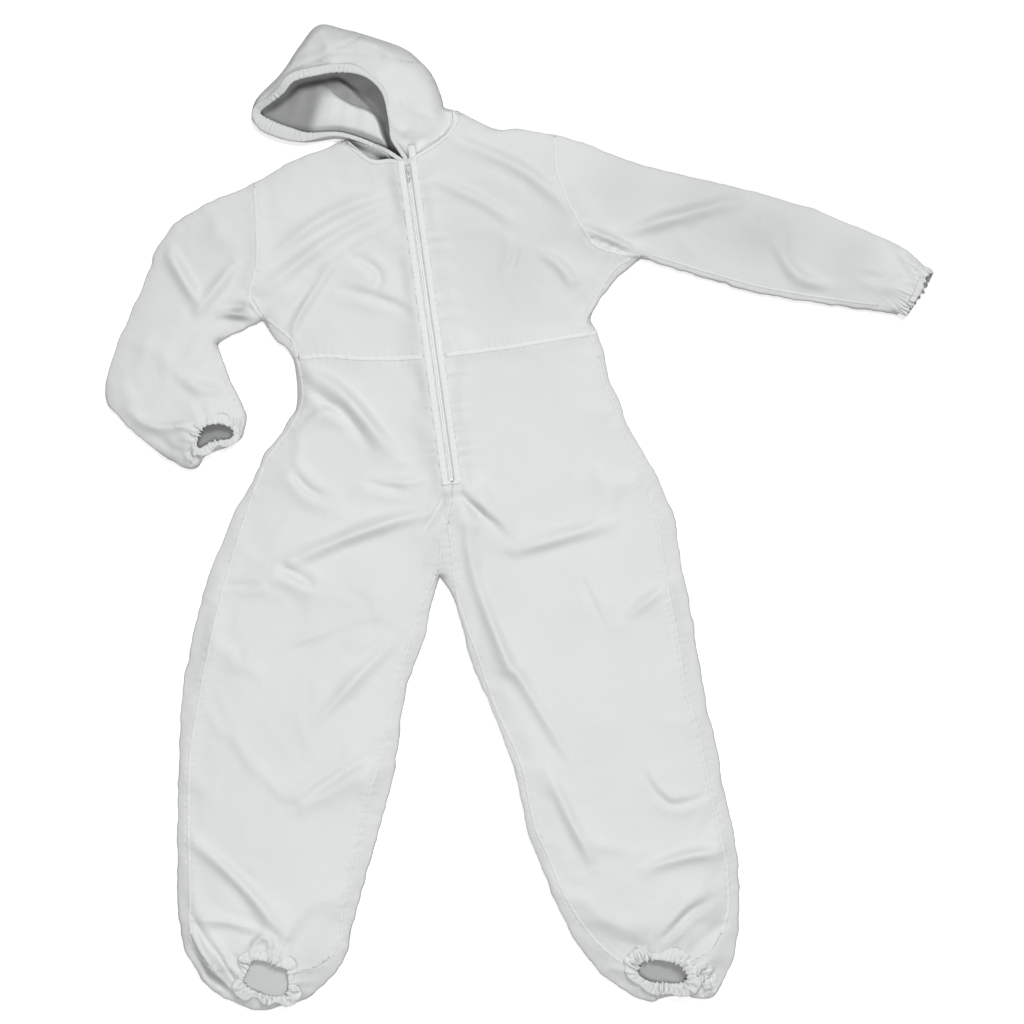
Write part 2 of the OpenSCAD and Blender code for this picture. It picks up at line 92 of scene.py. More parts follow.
NECK_FRONT = [(-113, 728), (-113, 712), (-120, 695), (-132, 680), (-163, 658), (-184, 645), (-205, 635)]
NECK_RIGHT = [(-205, 635), (-230, 640), (-250, 638), (-267, 641), (-285, 655), (-310, 676)]
SLEEVE_R = [(-310, 676), (-360, 656), (-408, 637), (-479, 596), (-549, 567), (-606, 535), (-635, 503),
            (-655, 469), (-664, 435), (-705, 341), (-733, 264), (-737, 211), (-698, 163), (-660, 131),
            (-619, 101), (-590, 89), (-572, 95), (-564, 109), (-545, 120), (-517, 129), (-496, 147),
            (-489, 165), (-487, 183), (-495, 205), (-511, 236), (-525, 271), (-539, 312)]
ARMPIT_R = [(-539, 312), (-517, 325), (-485, 341), (-457, 354)]
SIDE_R = [(-457, 354), (-434, 318), (-408, 295), (-396, 240), (-398, 202), (-417, 166), (-457, 110),
          (-478, 62), (-505, 20), (-527, -36), (-552, -94), (-571, -160), (-587, -230), (-600, -300),
          (-606, -390), (-610, -545), (-609, -700), (-593, -780), (-545, -846), (-516, -862),
          (-472, -878), (-427, -872), (-383, -860), (-338, -822), (-306, -775), (-300, -738),
          (-276, -649), (-244, -535), (-221, -442), (-203, -311), (-171, -220), (-157, -156),
          (-142, -104)]
INNER_L = [(-142, -104), (-121, -134), (-103, -186), (-84, -259), (-49, -337), (-9, -444), (15, -554),
           (43, -631), (73, -700), (119, -780), (181, -839), (233, -863), (254, -856), (288, -852),
           (326, -859), (354, -850), (372, -810), (389, -762), (393, -680), (391, -620), (380, -547),
           (363, -465), (351, -395), (336, -337), (326, -279), (312, -199), (298, -118), (284, -44),
           (277, 5), (250, 68), (220, 122), (193, 168), (182, 203), (162, 245), (150, 305), (127, 355)]
ARMPIT_L = [(127, 355), (144, 389), (180, 433), (217, 465)]
UNDER_L = [(217, 465), (251, 455), (322, 433), (429, 403), (536, 384), (643, 370), (676, 364)]
CUFF_L = [(676, 364), (690, 380), (702, 404), (713, 427), (726, 449)]
TOP_L = [(726, 449), (704, 470), (678, 488), (625, 511), (536, 549), (429, 581), (322, 606), (215, 633),
         (144, 660), (76, 683), (2, 694), (-41, 695), (-82, 714), (-98, 722), (-113, 728)]

WAIST = [(-420, 284), (-343, 290), (-280, 285), (-164, 288), (-34, 303), (73, 321), (175, 338)]
ARMHOLE_R = [(-478, 612), (-473, 590), (-468, 540), (-466, 462), (-475, 424), (-480, 392), (-462, 362),
             (-448, 350)]
ARMHOLE_L = [(63, 700), (65, 672), (67, 627), (77, 592), (100, 540), (132, 490), (172, 474), (230, 466)]
SEAM_R = [(-456, 360), (-440, 348), (-421, 333), (-403, 314), (-398, 290), (-388, 240), (-390, 203),
          (-410, 160), (-449, 108), (-470, 58), (-499, -29), (-526, -121), (-549, -213), (-565, -293),
          (-576, -353), (-587, -430), (-590, -545), (-587, -650), (-586, -730), (-572, -768),
          (-536, -798), (-492, -812)]
SEAM_L = [(205, 466), (172, 446), (147, 410), (126, 368), (121, 345), (139, 300), (151, 245), (171, 200),
          (184, 166), (205, 119), (218, 67), (233, 40), (245, 0), (253, -50), (270, -147), (283, -217),
          (298, -310), (318, -375), (340, -480), (366, -590), (374, -670), (369, -716), (345, -765),
          (298, -793)]
INSEAM_R = [(-141, -90), (-156, -120), (-171, -150), (-192, -213), (-221, -311), (-235, -389),
            (-246, -430), (-269, -502), (-285, -566), (-301, -636), (-314, -696), (-317, -745),
            (-340, -785), (-372, -803), (-408, -806)]
INSEAM_L = [(-128, 0), (-119, -60), (-109, -144), (-72, -252), (-42, -337), (-8, -410), (8, -455),
            (27, -547), (52, -602), (80, -670), (124, -738), (175, -785), (212, -800)]
CENTRE = [(-119, 56), (-126, 11), (-138, -36), (-142, -112)]
UNDERARM_R = [(-544, 300), (-534, 271), (-520, 237), (-507, 212)]
UNDERARM_L = [(235, 471), (322, 444), (429, 414), (536, 395), (640, 381)]

HOOD_OUT = [(-113, 728), (-124, 731), (-135, 735), (-138, 751), (-155, 792), (-181, 821), (-210, 842),
            (-280, 866), (-312, 874), (-358, 882), (-391, 846), (-425, 796), (-466, 754), (-477, 729),
            (-474, 707), (-446, 687), (-387, 672), (-324, 679), (-290, 673), (-255, 661), (-233, 650),
            (-205, 635)]
RIM = [(-204, 638), (-217, 657), (-228, 676), (-231, 700), (-238, 740), (-247, 761), (-266, 779),
       (-291, 789), (-325, 791), (-352, 787), (-397, 776), (-418, 755), (-440, 740), (-458, 729),
       (-460, 720), (-433, 706), (-405, 696), (-376, 688), (-325, 689), (-290, 681), (-262, 670),
       (-236, 658), (-217, 646)]
CROWN_SEAM = [(-421, 775), (-407, 796), (-356, 818), (-318, 838), (-282, 858)]
CHEEK_SEAM = [(-366, 814), (-315, 826), (-250, 821), (-190, 813)]
LINING_FOLD = [(-354, 786), (-341, 767), (-325, 751), (-300, 736), (-274, 726), (-258, 716), (-251, 700),
               (-245, 681), (-238, 664)]
LINING_FOLD_2 = [(-325, 784), (-306, 770), (-287, 751), (-268, 733), (-257, 718), (-247, 700)]

# The two folds of the hood's lining: line, height, and how far each reaches before and past its line
LINING_FOLDS = (LINING_FOLD, 25, 74, 5), (LINING_FOLD_2, 15, 30, 4)

# The three openings that face up, anticlockwise
WRIST_R = [(-509, 157), (-528, 168), (-553, 166), (-566, 157), (-571, 144), (-574, 130), (-568, 125),
           (-558, 131), (-547, 136), (-532, 139), (-514, 143)]
ANKLE_R = [(-413, -806), (-428, -797), (-446, -789), (-472, -786), (-480, -797), (-486, -811),
           (-492, -824), (-484, -834), (-459, -846), (-437, -851), (-413, -846)]
ANKLE_L = [(296, -805), (283, -793), (260, -787), (235, -785), (219, -789), (211, -800), (214, -813),
           (234, -825), (262, -828), (286, -828), (299, -819)]

# How far the back layer rises below each of them
HOLE_RISE = (7, 17, 11)

# The left wrist, seen from its edge: centre, half width, half height, and turn in degrees
WRIST_L = ((709, 404), 45, 11, -33)

# Folds in the cloth: height, half width, and the line that each follows
FOLDS = [
    (8, 15, [(-400, 265), (-330, 230), (-280, 175), (-215, 100)]),
    (-6, 12, [(-375, 230), (-315, 190), (-270, 135)]),
    (-6, 10, [(-410, 90), (-380, 55), (-345, 35)]),
    (-4, 9, [(-280, 65), (-240, 55), (-200, 45)]),
    (-4, 9, [(-395, 170), (-365, 195), (-330, 205)]),
    (8, 14, [(-155, 15), (-230, -5), (-305, -30), (-405, -75)]),
    (-5, 6, [(-128, 48), (-140, 30), (-156, 2), (-172, -22)]),
    (-5, 7, [(-108, 48), (-94, 32), (-78, 14), (-58, -8)]),
    (3, 8, [(-160, 70), (-205, 66), (-262, 72)]),
    (-6, 11, [(-435, -85), (-400, -100), (-360, -125)]),
    (-3, 7, [(-535, -120), (-490, -120), (-450, -115)]),
    (4, 12, [(-360, -365), (-285, -285), (-205, -205)]),
    (3, 12, [(-475, -245), (-365, -210), (-255, -170)]),
    (-6, 11, [(-110, 35), (-70, 5), (-20, -35)]),
    (6, 13, [(-5, -60), (80, -35), (165, -10)]),
    (5, 12, [(-95, -10), (-80, -105), (-20, -260), (0, -285), (95, -435)]),
    (3, 9, [(200, -170), (235, -145), (265, -120)]),
    (-3, 9, [(105, -95), (125, -140), (150, -190)]),
    (6, 13, [(-575, -580), (-530, -620), (-480, -670), (-420, -745)]),
    (-4, 10, [(-395, -510), (-330, -465), (-265, -425)]),
    (5, 9, [(-585, -715), (-520, -720), (-455, -740)]),
    (-9, 6, [(-582, -712), (-552, -758), (-522, -800), (-497, -846)]),
    (4, 6, [(-584, -740), (-550, -785), (-516, -831)]),
    (-7, 9, [(-596, -765), (-560, -815), (-512, -856)]),
    (6, 7, [(112, 518), (150, 500), (212, 476)]),
    (-6, 4, [(128, 500), (165, 486), (205, 470)]),
    (-4, 6, [(190, 446), (160, 415), (138, 375)]),
    (-6, 5, [(-525, 380), (-495, 382), (-468, 364)]),
    (6, 6, [(-530, 362), (-500, 366), (-470, 352)]),
    (5, 7, [(-400, 320), (-398, 346), (-361, 407), (-335, 445)]),
    (-6, 8, [(-592, -760), (-565, -800), (-535, -832)]),
    (5, 7, [(-474, -778), (-470, -758), (-456, -746), (-445, -754), (-445, -772)]),
    (5, 11, [(50, -450), (90, -535), (135, -625)]),
    (-4, 8, [(220, -450), (240, -485), (270, -510), (305, -505), (340, -490)]),
    (5, 11, [(225, -625), (295, -605), (370, -595)]),
    (-8, 10, [(345, -675), (305, -700), (270, -735), (245, -750)]),
    (-6, 22, [(115, -735), (165, -755), (215, -772), (262, -775)]),
    (-5, 18, [(368, -705), (335, -740), (300, -775)]),
    (4, 12, [(-455, 455), (-335, 540), (-220, 580)]),
    (4, 12, [(-455, 405), (-335, 495), (-210, 560)]),
    (3, 11, [(-435, 370), (-320, 455), (-205, 520)]),
    (-4, 10, [(-335, 410), (-255, 390), (-185, 360)]),
    (-4, 9, [(-300, 465), (-270, 452), (-250, 430), (-262, 405)]),
    (5, 14, [(-130, 680), (0, 620), (100, 540)]),
    (4, 11, [(-150, 600), (-60, 560), (0, 515)]),
    (-4, 8, [(-5, 485), (-10, 460), (-20, 435)]),
    (6, 11, [(35, 475), (70, 450), (105, 405)]),
    (6, 14, [(175, 505), (230, 520), (305, 540), (385, 560)]),
    (5, 12, [(455, 475), (495, 430), (555, 405)]),
    (-4, 8, [(610, 435), (640, 425), (670, 430)]),
    (6, 12, [(-635, 490), (-605, 435), (-570, 375)]),
    (6, 12, [(-510, 455), (-540, 415), (-570, 375)]),
    (4, 11, [(-605, 250), (-570, 230), (-525, 225)]),
    (5, 10, [(-720, 200), (-675, 170), (-625, 160), (-570, 170)]),
    (-6, 10, [(-650, 140), (-620, 120), (-595, 115)]),
]

# The same for the hood
HOOD_FOLDS = [
    (3, 6, [(-378, 846), (-368, 862), (-352, 868)]),
    (-3, 6, [(-392, 822), (-374, 830), (-352, 836)]),
    (3, 9, [(-300, 850), (-262, 842), (-236, 826)]),
    (4, 8, [(-226, 700), (-214, 690), (-200, 688)]),
    (3, 9, [(-205, 735), (-180, 720), (-150, 715)]),
    (-3, 7, [(-205, 672), (-190, 668), (-172, 674)]),
]

# Pleats that run out from the three open ends and from the left cuff: their height, wave and reach, and from
# where to where they grow in from the edge
COARSE_PLEATS = (2.6, 17, 26, 2, 14), (2.0, 13, 18, 2, 10)
FINE_PLEATS = (1.4, 8, 12, 1, 8), (1.5, 8, 14, 1, 8)

# Ripples beside the zip: height, wave and reach
ZIP_RIPPLES = (1.8, 12, 16), (2.2, 35, 28)

# Patches of bunched cloth beside the elastic: centre, radius and height
BUNCHED = [((326, -824), 30, 3.2), ((213, -776), 17, 2.6), ((-490, -822), 14, 2.0), ((-462, -765), 14, 1.2),
           ((-577, 110), 17, 3.2), ((-500, 172), 12, 1.4), ((700, 386), 16, 1.2), ((722, 432), 16, 1.2)]

# Painted shade: soft dark patches on the body cloth under folds, at the armpit and along the sleeves, legs
# and chest, where the thin cloth lies in shade: centre, reach, and how much
SHADES = [
    ((190, 600), 75, 0.35), ((330, 565), 80, 0.5), ((470, 520), 80, 0.5),
    ((600, 468), 60, 0.45), ((400, 500), 60, 0.2), ((-20, 540), 130, 0.2),
    ((-10, 420), 90, 0.15), ((-400, -858), 34, 0.4), ((-365, -810), 34, 0.35),
    ((-552, -810), 30, 0.4), ((150, -760), 40, 0.35), ((215, -745), 30, 0.35),
    ((290, -755), 30, 0.45), ((340, -700), 30, 0.35), ((-498, 371), 16, 0.8),
    ((-622, 112), 24, 0.7), ((-590, 98), 14, 0.4), ((-545, 480), 60, 0.2),
]

# Joint by joint: the pivot, the direction from the body along the limb, and where the turn starts and ends
BENDS = {
    "right_sleeve": ((-540, 445), (-0.87, -0.5), -35, 78),
    "left_sleeve": ((150, 562), (0.98, 0.1), -38, 100),
    "right_leg": ((-350, -100), (-0.5, -0.87), -101, 105),
    "left_leg": ((85, -105), (0.5, -0.87), -114, 112),
    "hood": ((-225, 745), (-0.6, 0.8), -4, 92),
}


# ---------------------------------------------------------------- curves and distances

def curve(points, step=EDGE_STEP):
    """A smooth curve through points, with a point about every step millimetres."""
    p = np.array(points, float)
    ends = np.vstack([2 * p[0] - p[1], p, 2 * p[-1] - p[-2]])
    t = np.linspace(0, 1, 12, endpoint=False)[:, None]
    parts = []
    for a, b, c, d in zip(ends, ends[1:], ends[2:], ends[3:]):
        parts.append((2 * b + (c - a) * t + (2 * a - 5 * b + 4 * c - d) * t ** 2
                      + (3 * b - a - 3 * c + d) * t ** 3) / 2)
    return resampled(np.vstack(parts + [p[-1:]]), step)


def run_along(path):
    """Length along a path at each of its points."""
    return np.concatenate([[0], np.cumsum(np.linalg.norm(np.diff(path, axis=0), axis=1))])


def resampled(path, step):
    """Points evenly spaced along a path, about every step millimetres."""
    run = run_along(path)
    n = max(2, int(round(run[-1] / step)) + 1)
    at = np.linspace(0, run[-1], n)
    return np.column_stack([np.interp(at, run, path[:, k]) for k in range(path.shape[1])])


def part_of(path, before, after):
    """A path without its first and last millimetres."""
    run = run_along(path)
    return path[(run >= before) & (run <= run[-1] - after)]


def joined(*paths):
    """One closed loop from paths that meet end to start."""
    return np.vstack([p[:-1] for p in paths])


def closed(points, step=3.5):
    """A smooth closed curve through points."""
    p = list(points)
    around = curve([p[-2], p[-1]] + p + [p[0], p[1]], 0.5)
    first = int(np.argmin(np.linalg.norm(around[:len(around) // 2] - np.array(p[0]), axis=1)))
    rest = around[len(around) // 2:]
    last = len(around) // 2 + int(np.argmin(np.linalg.norm(rest - np.array(p[0]), axis=1)))
    return resampled(around[first:last + 1], step)[:-1]


def edge(points):
    """A curve for the silhouette, with the slight waviness of a sewn edge."""
    path = curve(points)
    n = len(path)
    fade = np.sin(np.linspace(0, math.pi, n)) ** 0.3
    along = np.column_stack([np.arange(n) * EDGE_STEP, np.zeros(n)])
    return path + normals_2d(path) * (fade * (0.9 * waves(along, 46) + 0.5 * waves(along, 20)))[:, None]


def normals_2d(path, closed=False):
    """Unit vectors to the left of a path's run."""
    if closed:
        d = np.roll(path, -1, axis=0) - np.roll(path, 1, axis=0)
    else:
        d = np.gradient(path, axis=0)
    d = d / np.maximum(np.linalg.norm(d, axis=1), 1e-9)[:, None]
    return np.column_stack([-d[:, 1], d[:, 0]])


def inside(loop, pts):
    """Which points lie inside a closed loop."""
    x, y = pts[:, 0], pts[:, 1]
    found = np.zeros(len(pts), bool)
    for (x0, y0), (x1, y1) in zip(loop, np.roll(loop, -1, axis=0)):
        if y0 == y1:
            continue
        hit = ((y0 > y) != (y1 > y)) & (x < (x1 - x0) * (y - y0) / (y1 - y0) + x0)
        found ^= hit
    return found


def nearest(path, pts, closed=False):
    """Distance to a path, the length along it, and which side: + on the left of its run."""
    path = np.asarray(path, float)
    a = path if closed else path[:-1]
    b = np.roll(path, -1, axis=0) if closed else path[1:]
    run = np.concatenate([[0], np.cumsum(np.linalg.norm(b - a, axis=1))])
    best = np.full(len(pts), 1e9)
    along, side = np.zeros(len(pts)), np.zeros(len(pts))
    for i, (p, q) in enumerate(zip(a, b)):
        d = q - p
        length = max(np.hypot(*d), 1e-9)
        r = pts - p
        t = np.clip(r @ d / length ** 2, 0, 1)
        off = r - t[:, None] * d
        dist = np.hypot(off[:, 0], off[:, 1])
        closer = dist < best
        best[closer] = dist[closer]
        along[closer] = run[i] + t[closer] * length
        side[closer] = np.sign(d[0] * r[closer, 1] - d[1] * r[closer, 0])
    return best, along, side


def signed_distance(path, pts):
    """Distance to a path, + on the left of its run."""
    d, _, side = nearest(path, pts)
    return d * side


def step_up(x, lo, hi):
    """0 below lo, 1 above hi, and smooth between."""
    t = np.clip((x - lo) / (hi - lo), 0, 1)
    return t * t * (3 - 2 * t)


def waves(pts, length, n=14):
    """Smooth noise of about unit size: n plane waves of about the given length."""
    total = np.zeros(len(pts))
    for _ in range(n):
        turn, phase = RNG.uniform(0, 2 * math.pi, 2)
        k = 2 * math.pi / (length * RNG.uniform(0.7, 1.4))
        total += np.sin(k * (pts[:, 0] * math.cos(turn) + pts[:, 1] * math.sin(turn)) + phase)
    return total * math.sqrt(2 / n)


# ---------------------------------------------------------------- the flat layout

SIDES = [edge(p) for p in (SLEEVE_R, ARMPIT_R, SIDE_R, INNER_L, ARMPIT_L, UNDER_L)]
TOP_EDGE = edge(TOP_L)
OUTER_EDGES = SIDES + [TOP_EDGE]
NECK_EDGE = curve(NECK_FRONT, 5)
BODY_LOOP = joined(*SIDES, curve(CUFF_L), TOP_EDGE, NECK_EDGE, curve(NECK_RIGHT, 5))
HOLES = [closed(p) for p in (WRIST_R, ANKLE_R, ANKLE_L)]
ZIP_DIR = (ZIP_END - ZIP_TOP) / np.linalg.norm(ZIP_END - ZIP_TOP)
ZIP_SIDE = np.array([-ZIP_DIR[1], ZIP_DIR[0]])
ZIP_LEN = float(np.linalg.norm(ZIP_END - ZIP_TOP))
SLIT_CORNERS = [(-1, 4), (-1, ZIP_LEN + 2), (1, ZIP_LEN + 2), (1, 4), (-1, 4)]
SLIT_LOOP = resampled(np.array([ZIP_TOP + ZIP_SIDE * SLIT * side + ZIP_DIR * run
                                for side, run in SLIT_CORNERS]), 5.0)[:-1]
MIDDLE = np.vstack([[ZIP_TOP - 300 * ZIP_DIR], [ZIP_END], curve(CENTRE)[1:], [(-142, -400)]])


def edge_distance(pts):
    """Distance to the outline, without the neck and the left cuff."""
    return np.min([nearest(p, pts)[0] for p in OUTER_EDGES], axis=0)


def fold_heights(pts):
    """Height of all the folds, each steeper on one side."""
    z = np.zeros(len(pts))
    for h, w, line in FOLDS:
        path = curve(line, 12)
        d, along, side = nearest(path, pts)
        total = np.linalg.norm(np.diff(path, axis=0), axis=1).sum()
        fade = np.sin(np.pi * np.clip(along / total, 0.04, 0.96)) ** 0.6
        s = d * side / w
        z += FOLD_GAIN * h * fade * np.exp(-s ** 2) * (1 + 0.45 * np.tanh(s))
    return z


def mound(d):
    """Height of the resting front layer at a distance from the edge: a rounded edge, then a slow rise."""
    round_edge = EDGE_RISE * np.sqrt(1 - (1 - np.clip(d / EDGE_ROUND, 0, 1)) ** 2)
    rise = LOFT - 1 - EDGE_Z - EDGE_RISE
    return EDGE_Z + round_edge + rise * (1 - np.exp(-np.maximum(d - 5, 0) / RISE_RUN))


def zip_weight(pts):
    """1 on the plackets and 0 away from them."""
    r = pts - ZIP_TOP
    along, off = r @ ZIP_DIR, np.abs(r @ ZIP_SIDE)
    ends = step_up(along, -40, -5) * (1 - step_up(along, ZIP_LEN + 9, ZIP_LEN + 32))
    return (1 - step_up(off, PLACKET, PLACKET + 22)) * ends


def grid_points(loop, spacing):
    """Points of a slightly uneven triangular grid inside a loop."""
    lo, hi = loop.min(0), loop.max(0)
    rows = []
    for i, y in enumerate(np.arange(lo[1], hi[1], spacing * math.sqrt(3) / 2)):
        xs = np.arange(lo[0] + (i % 2) * spacing / 2, hi[0], spacing)
        rows.append(np.column_stack([xs, np.full(len(xs), y)]))
    pts = np.vstack(rows)
    pts = pts + RNG.uniform(-0.12, 0.12, pts.shape) * spacing
    return pts[inside(loop, pts)]


def too_near(pts, others, limit):
    """Which points lie within limit of others, found on a coarse grid of cells."""
    taken = {}
    for q in others:
        taken.setdefault((int(q[0] // limit), int(q[1] // limit)), []).append(q)
    near = np.zeros(len(pts), bool)
    for i, p in enumerate(pts):
        cx, cy = int(p[0] // limit), int(p[1] // limit)
        around = [q for dx in (-1, 0, 1) for dy in (-1, 0, 1) for q in taken.get((cx + dx, cy + dy), ())]
        near[i] = any((p[0] - q[0]) ** 2 + (p[1] - q[1]) ** 2 < limit ** 2 for q in around)
    return near


def subset(verts, faces, mask):
    """The faces in a mask, with only the points that they use."""
    faces = faces[mask]
    used = np.unique(faces)
    order = np.zeros(len(verts), int)
    order[used] = np.arange(len(used))
    return verts[used], order[faces]


def triangulated(loops, lines, grids, keep):
    """Triangles over closed loops and open lines, with grid points between.

    Each grid comes with its least distance from the lines, and keep says which triangles stay.
    """
    coords, edges = [], []
    for path, is_loop in [(p, True) for p in loops] + [(p, False) for p in lines]:
        n, count = len(coords), len(path)
        coords += list(path)
        edges += [(n + i, n + (i + 1) % count) for i in range(count if is_loop else count - 1)]
    fixed = np.array(coords)
    for pts, limit in grids:
        coords += list(pts[~too_near(pts, fixed, limit)])
    out = delaunay_2d_cdt([Vector(c) for c in coords], edges, [], 0, 0.05)
    verts = np.array([tuple(v) for v in out[0]])
    tris = np.array([f for f in out[2] if len(f) == 3])
    return subset(verts, tris, keep(verts[tris].mean(1)))


# ---------------------------------------------------------------- materials

def noise_texture(nodes, links, place, scale, detail):
    """The value of a noise texture."""
    noise = nodes.new("ShaderNodeTexNoise")
    noise.inputs["Scale"].default_value = scale
    noise.inputs["Detail"].default_value = detail
    links.new(place, noise.inputs["Vector"])
    return noise.outputs["Fac"]


def bump_node(nodes, links, height, distance, strength):
    """A bump from a height."""
    bump = nodes.new("ShaderNodeBump")
    bump.inputs["Distance"].default_value = distance
    bump.inputs["Strength"].default_value = strength
    links.new(height, bump.inputs["Height"])
    return bump


def material(name, base, rough, sheen=0.0, bump=None, metallic=0.0, spread=0.02):
    """A Principled material with slightly uneven colour and a bump built by bump(nodes, links, place)."""
    m = bpy.data.materials.new(name)
    m.use_nodes = True
    nodes, links = m.node_tree.nodes, m.node_tree.links
    shader = nodes["Principled BSDF"]
    shader.inputs["Roughness"].default_value = rough
    shader.inputs["Metallic"].default_value = metallic
    shader.inputs["Sheen Weight"].default_value = sheen
    shader.inputs["Sheen Roughness"].default_value = 0.4
    shader.inputs["Specular IOR Level"].default_value = 0.35
    place = nodes.new("ShaderNodeTexCoord").outputs["Object"]
    ramp = nodes.new("ShaderNodeValToRGB")
    for element, at, gain in zip(ramp.color_ramp.elements, (0.3, 0.7), (1 - spread, 1 + spread)):
        element.position = at
        element.color = (base[0] * gain, base[1] * gain, base[2] * gain, 1)
    links.new(noise_texture(nodes, links, place, 9, 4), ramp.inputs["Fac"])
    links.new(ramp.outputs["Color"], shader.inputs["Base Color"])
    if bump:
        links.new(bump(nodes, links, place), shader.inputs["Normal"])
    return m


def painted_shade_mix(m, attribute, shaded_colour, swap=False):
    """Mixes painted shade into a material's colour: a darker colour, by a number stored at each point.

    At 1 the darker colour is seen, or with swap the material's own.
    """
    nodes, links = m.node_tree.nodes, m.node_tree.links
    own, other = ("B", "A") if swap else ("A", "B")
    value = nodes.new("ShaderNodeAttribute")
    value.attribute_name = attribute
    mix = nodes.new("ShaderNodeMix")
    mix.data_type = "RGBA"
    base = nodes["Principled BSDF"].inputs["Base Color"]
    links.new(base.links[0].from_socket, mix.inputs[own])
    mix.inputs[other].default_value = (*shaded_colour, 1)
    links.new(value.outputs["Fac"], mix.inputs["Factor"])
    links.new(mix.outputs["Result"], base)
    return m


def inside_shade_material(dark, light):
    """Painted shade for the inside of the cloth at the openings: dark where the hollow lies in shade under
    one thin layer, and light where several layers lie over each other.
    """
    return painted_shade_mix(material("nylon_inside_shade", light, 0.6, 0.04, weave_bump()), "layers", dark, swap=True)


def weave_bump(threads=900.0, depth=0.00006, crinkle=0.0005):
    """Plain weave: two crossed sets of threads, with a fine crinkle under them. The depths are in metres."""
    def build(nodes, links, place):
        cross = nodes.new("ShaderNodeMath")
        cross.operation = "MAXIMUM"
        for k, axis in enumerate(("X", "Y")):
            wave = nodes.new("ShaderNodeTexWave")
            wave.bands_direction = axis
            wave.inputs["Scale"].default_value = threads / 6.283
            wave.inputs["Distortion"].default_value = 0.4
            links.new(place, wave.inputs["Vector"])
            links.new(wave.outputs["Fac"], cross.inputs[k])
        weave = bump_node(nodes, links, cross.outputs["Value"], depth, 0.5)
        fine = bump_node(nodes, links, noise_texture(nodes, links, place, 45, 5), crinkle, 0.35)
        links.new(weave.outputs["Normal"], fine.inputs["Normal"])
        return fine.outputs["Normal"]
    return build


def grain_bump(scale, depth):
    """Fine even grain, for plastic and metal."""
    def build(nodes, links, place):
        height = noise_texture(nodes, links, place, scale, 3)
        return bump_node(nodes, links, height, depth, 0.4).outputs["Normal"]
    return build


MATS = {
    # The fabric's colour is mixed towards the darker colour by the 'shade' number: painted shade
    "fabric": painted_shade_mix(material("nylon_cloth", (0.57, 0.582, 0.576), 0.55, 0.06, weave_bump()), "shade",
                         (0.4, 0.41, 0.405)),
    "seam": material("nylon_seam", (0.625, 0.637, 0.631), 0.6, 0.08, weave_bump(1300, 0.00008)),
    # The lining's dark colour is painted shade for the hollows inside the openings
    "lining": inside_shade_material((0.2, 0.204, 0.202), (0.6, 0.612, 0.606)),
    # A darker copy of the same nylon: painted shade for the hood, where one thin layer lies over its dark
    # hollow
    "shaded_hood_cloth": material("nylon_hood_cloth", (0.53, 0.542, 0.536), 0.55, 0.06, weave_bump()),
    "fine_seam": material("nylon_fine_seam", (0.595, 0.607, 0.601), 0.6, 0.08, weave_bump(1300, 0.00008)),
    "hem": material("nylon_hem", (0.578, 0.59, 0.584), 0.58, 0.08, weave_bump(1100, 0.00008)),
    "zip_tape": material("zip_tape_weave", (0.8, 0.81, 0.81), 0.7, 0.08, weave_bump(1800, 0.00012)),
    "zip_coil": material("zip_coil_nylon", (0.93, 0.94, 0.94), 0.32, 0, grain_bump(900, 0.00003)),
    "zip_metal": material("zip_metal", (0.38, 0.39, 0.4), 0.45, 0, grain_bump(700, 0.00003), 1.0),
}


# ---------------------------------------------------------------- making pieces


def linked(name, data):
    """A new object in the scene."""
    obj = bpy.data.objects.new(name, data)
    bpy.context.scene.collection.objects.link(obj)
    return obj


def mesh_object(name, verts, faces, ids=None):
    """A mesh object from millimetres, with each face's panel kept as its material number."""
    mesh = bpy.data.meshes.new(name)
    mesh.from_pydata((np.asarray(verts) * MM).tolist(), [], [tuple(map(int, f)) for f in faces])
    if ids is not None:
        for _ in range(int(ids.max()) + 1):
            mesh.materials.append(None)
        mesh.polygons.foreach_set("material_index", ids.astype(np.int32))
    mesh.update()
    return linked(name, mesh)


def piece(name, verts, faces, slot, thick=CLOTH_T):
    """A piece of the suit, with its material and, for cloth, its thickness."""
    obj = mesh_object(name, verts, faces)
    mesh = obj.data
    mesh.polygons.foreach_set("use_smooth", [True] * len(mesh.polygons))
    mesh.materials.append(MATS[slot])
    if thick:
        solid = obj.modifiers.new("thickness", "SOLIDIFY")
        solid.thickness = thick * MM
        solid.offset = 0
    return obj


def paint_inside_shade(obj, loop, layers):
    """Gives the back faces in and near an opening the lining material, with painted shade by place: layers
    says how light each point is drawn.
    """
    mesh = obj.data
    mesh.materials.append(MATS["lining"])
    store(mesh, "layers", layers(arrays(mesh)[0][:, :2]))
    centres = np.array([tuple(p.center) for p in mesh.polygons]) / MM
    flat = centres[:, :2]
    away = np.where(inside(loop, flat), 0, nearest(loop, flat, True)[0])
    facing = np.array([p.normal.z for p in mesh.polygons])
    # The faces that get the painted shade: low, facing up, on the back layer, in or near the opening
    low = (away < SHADED_INSIDE_REACH) & (centres[:, 2] < SHADED_INSIDE_TOP) & (facing > 0) & is_back(mesh)
    mesh.polygons.foreach_set("material_index", low.astype(np.int32))


def store(mesh, name, values):
    """Keeps a number at each point of a mesh, for its material."""
    mesh.attributes.new(name, "FLOAT", "POINT").data.foreach_set("value", values.astype(np.float32))


def shade(pts):
    """How much painted shade darkens the body cloth at each point, 0 to 1."""
    total = np.zeros(len(pts))
    for centre, reach, amount in SHADES:
        total += amount * np.exp(-(np.linalg.norm(pts - np.array(centre), axis=1) / reach) ** 2)
    return np.clip(total, 0, 1)


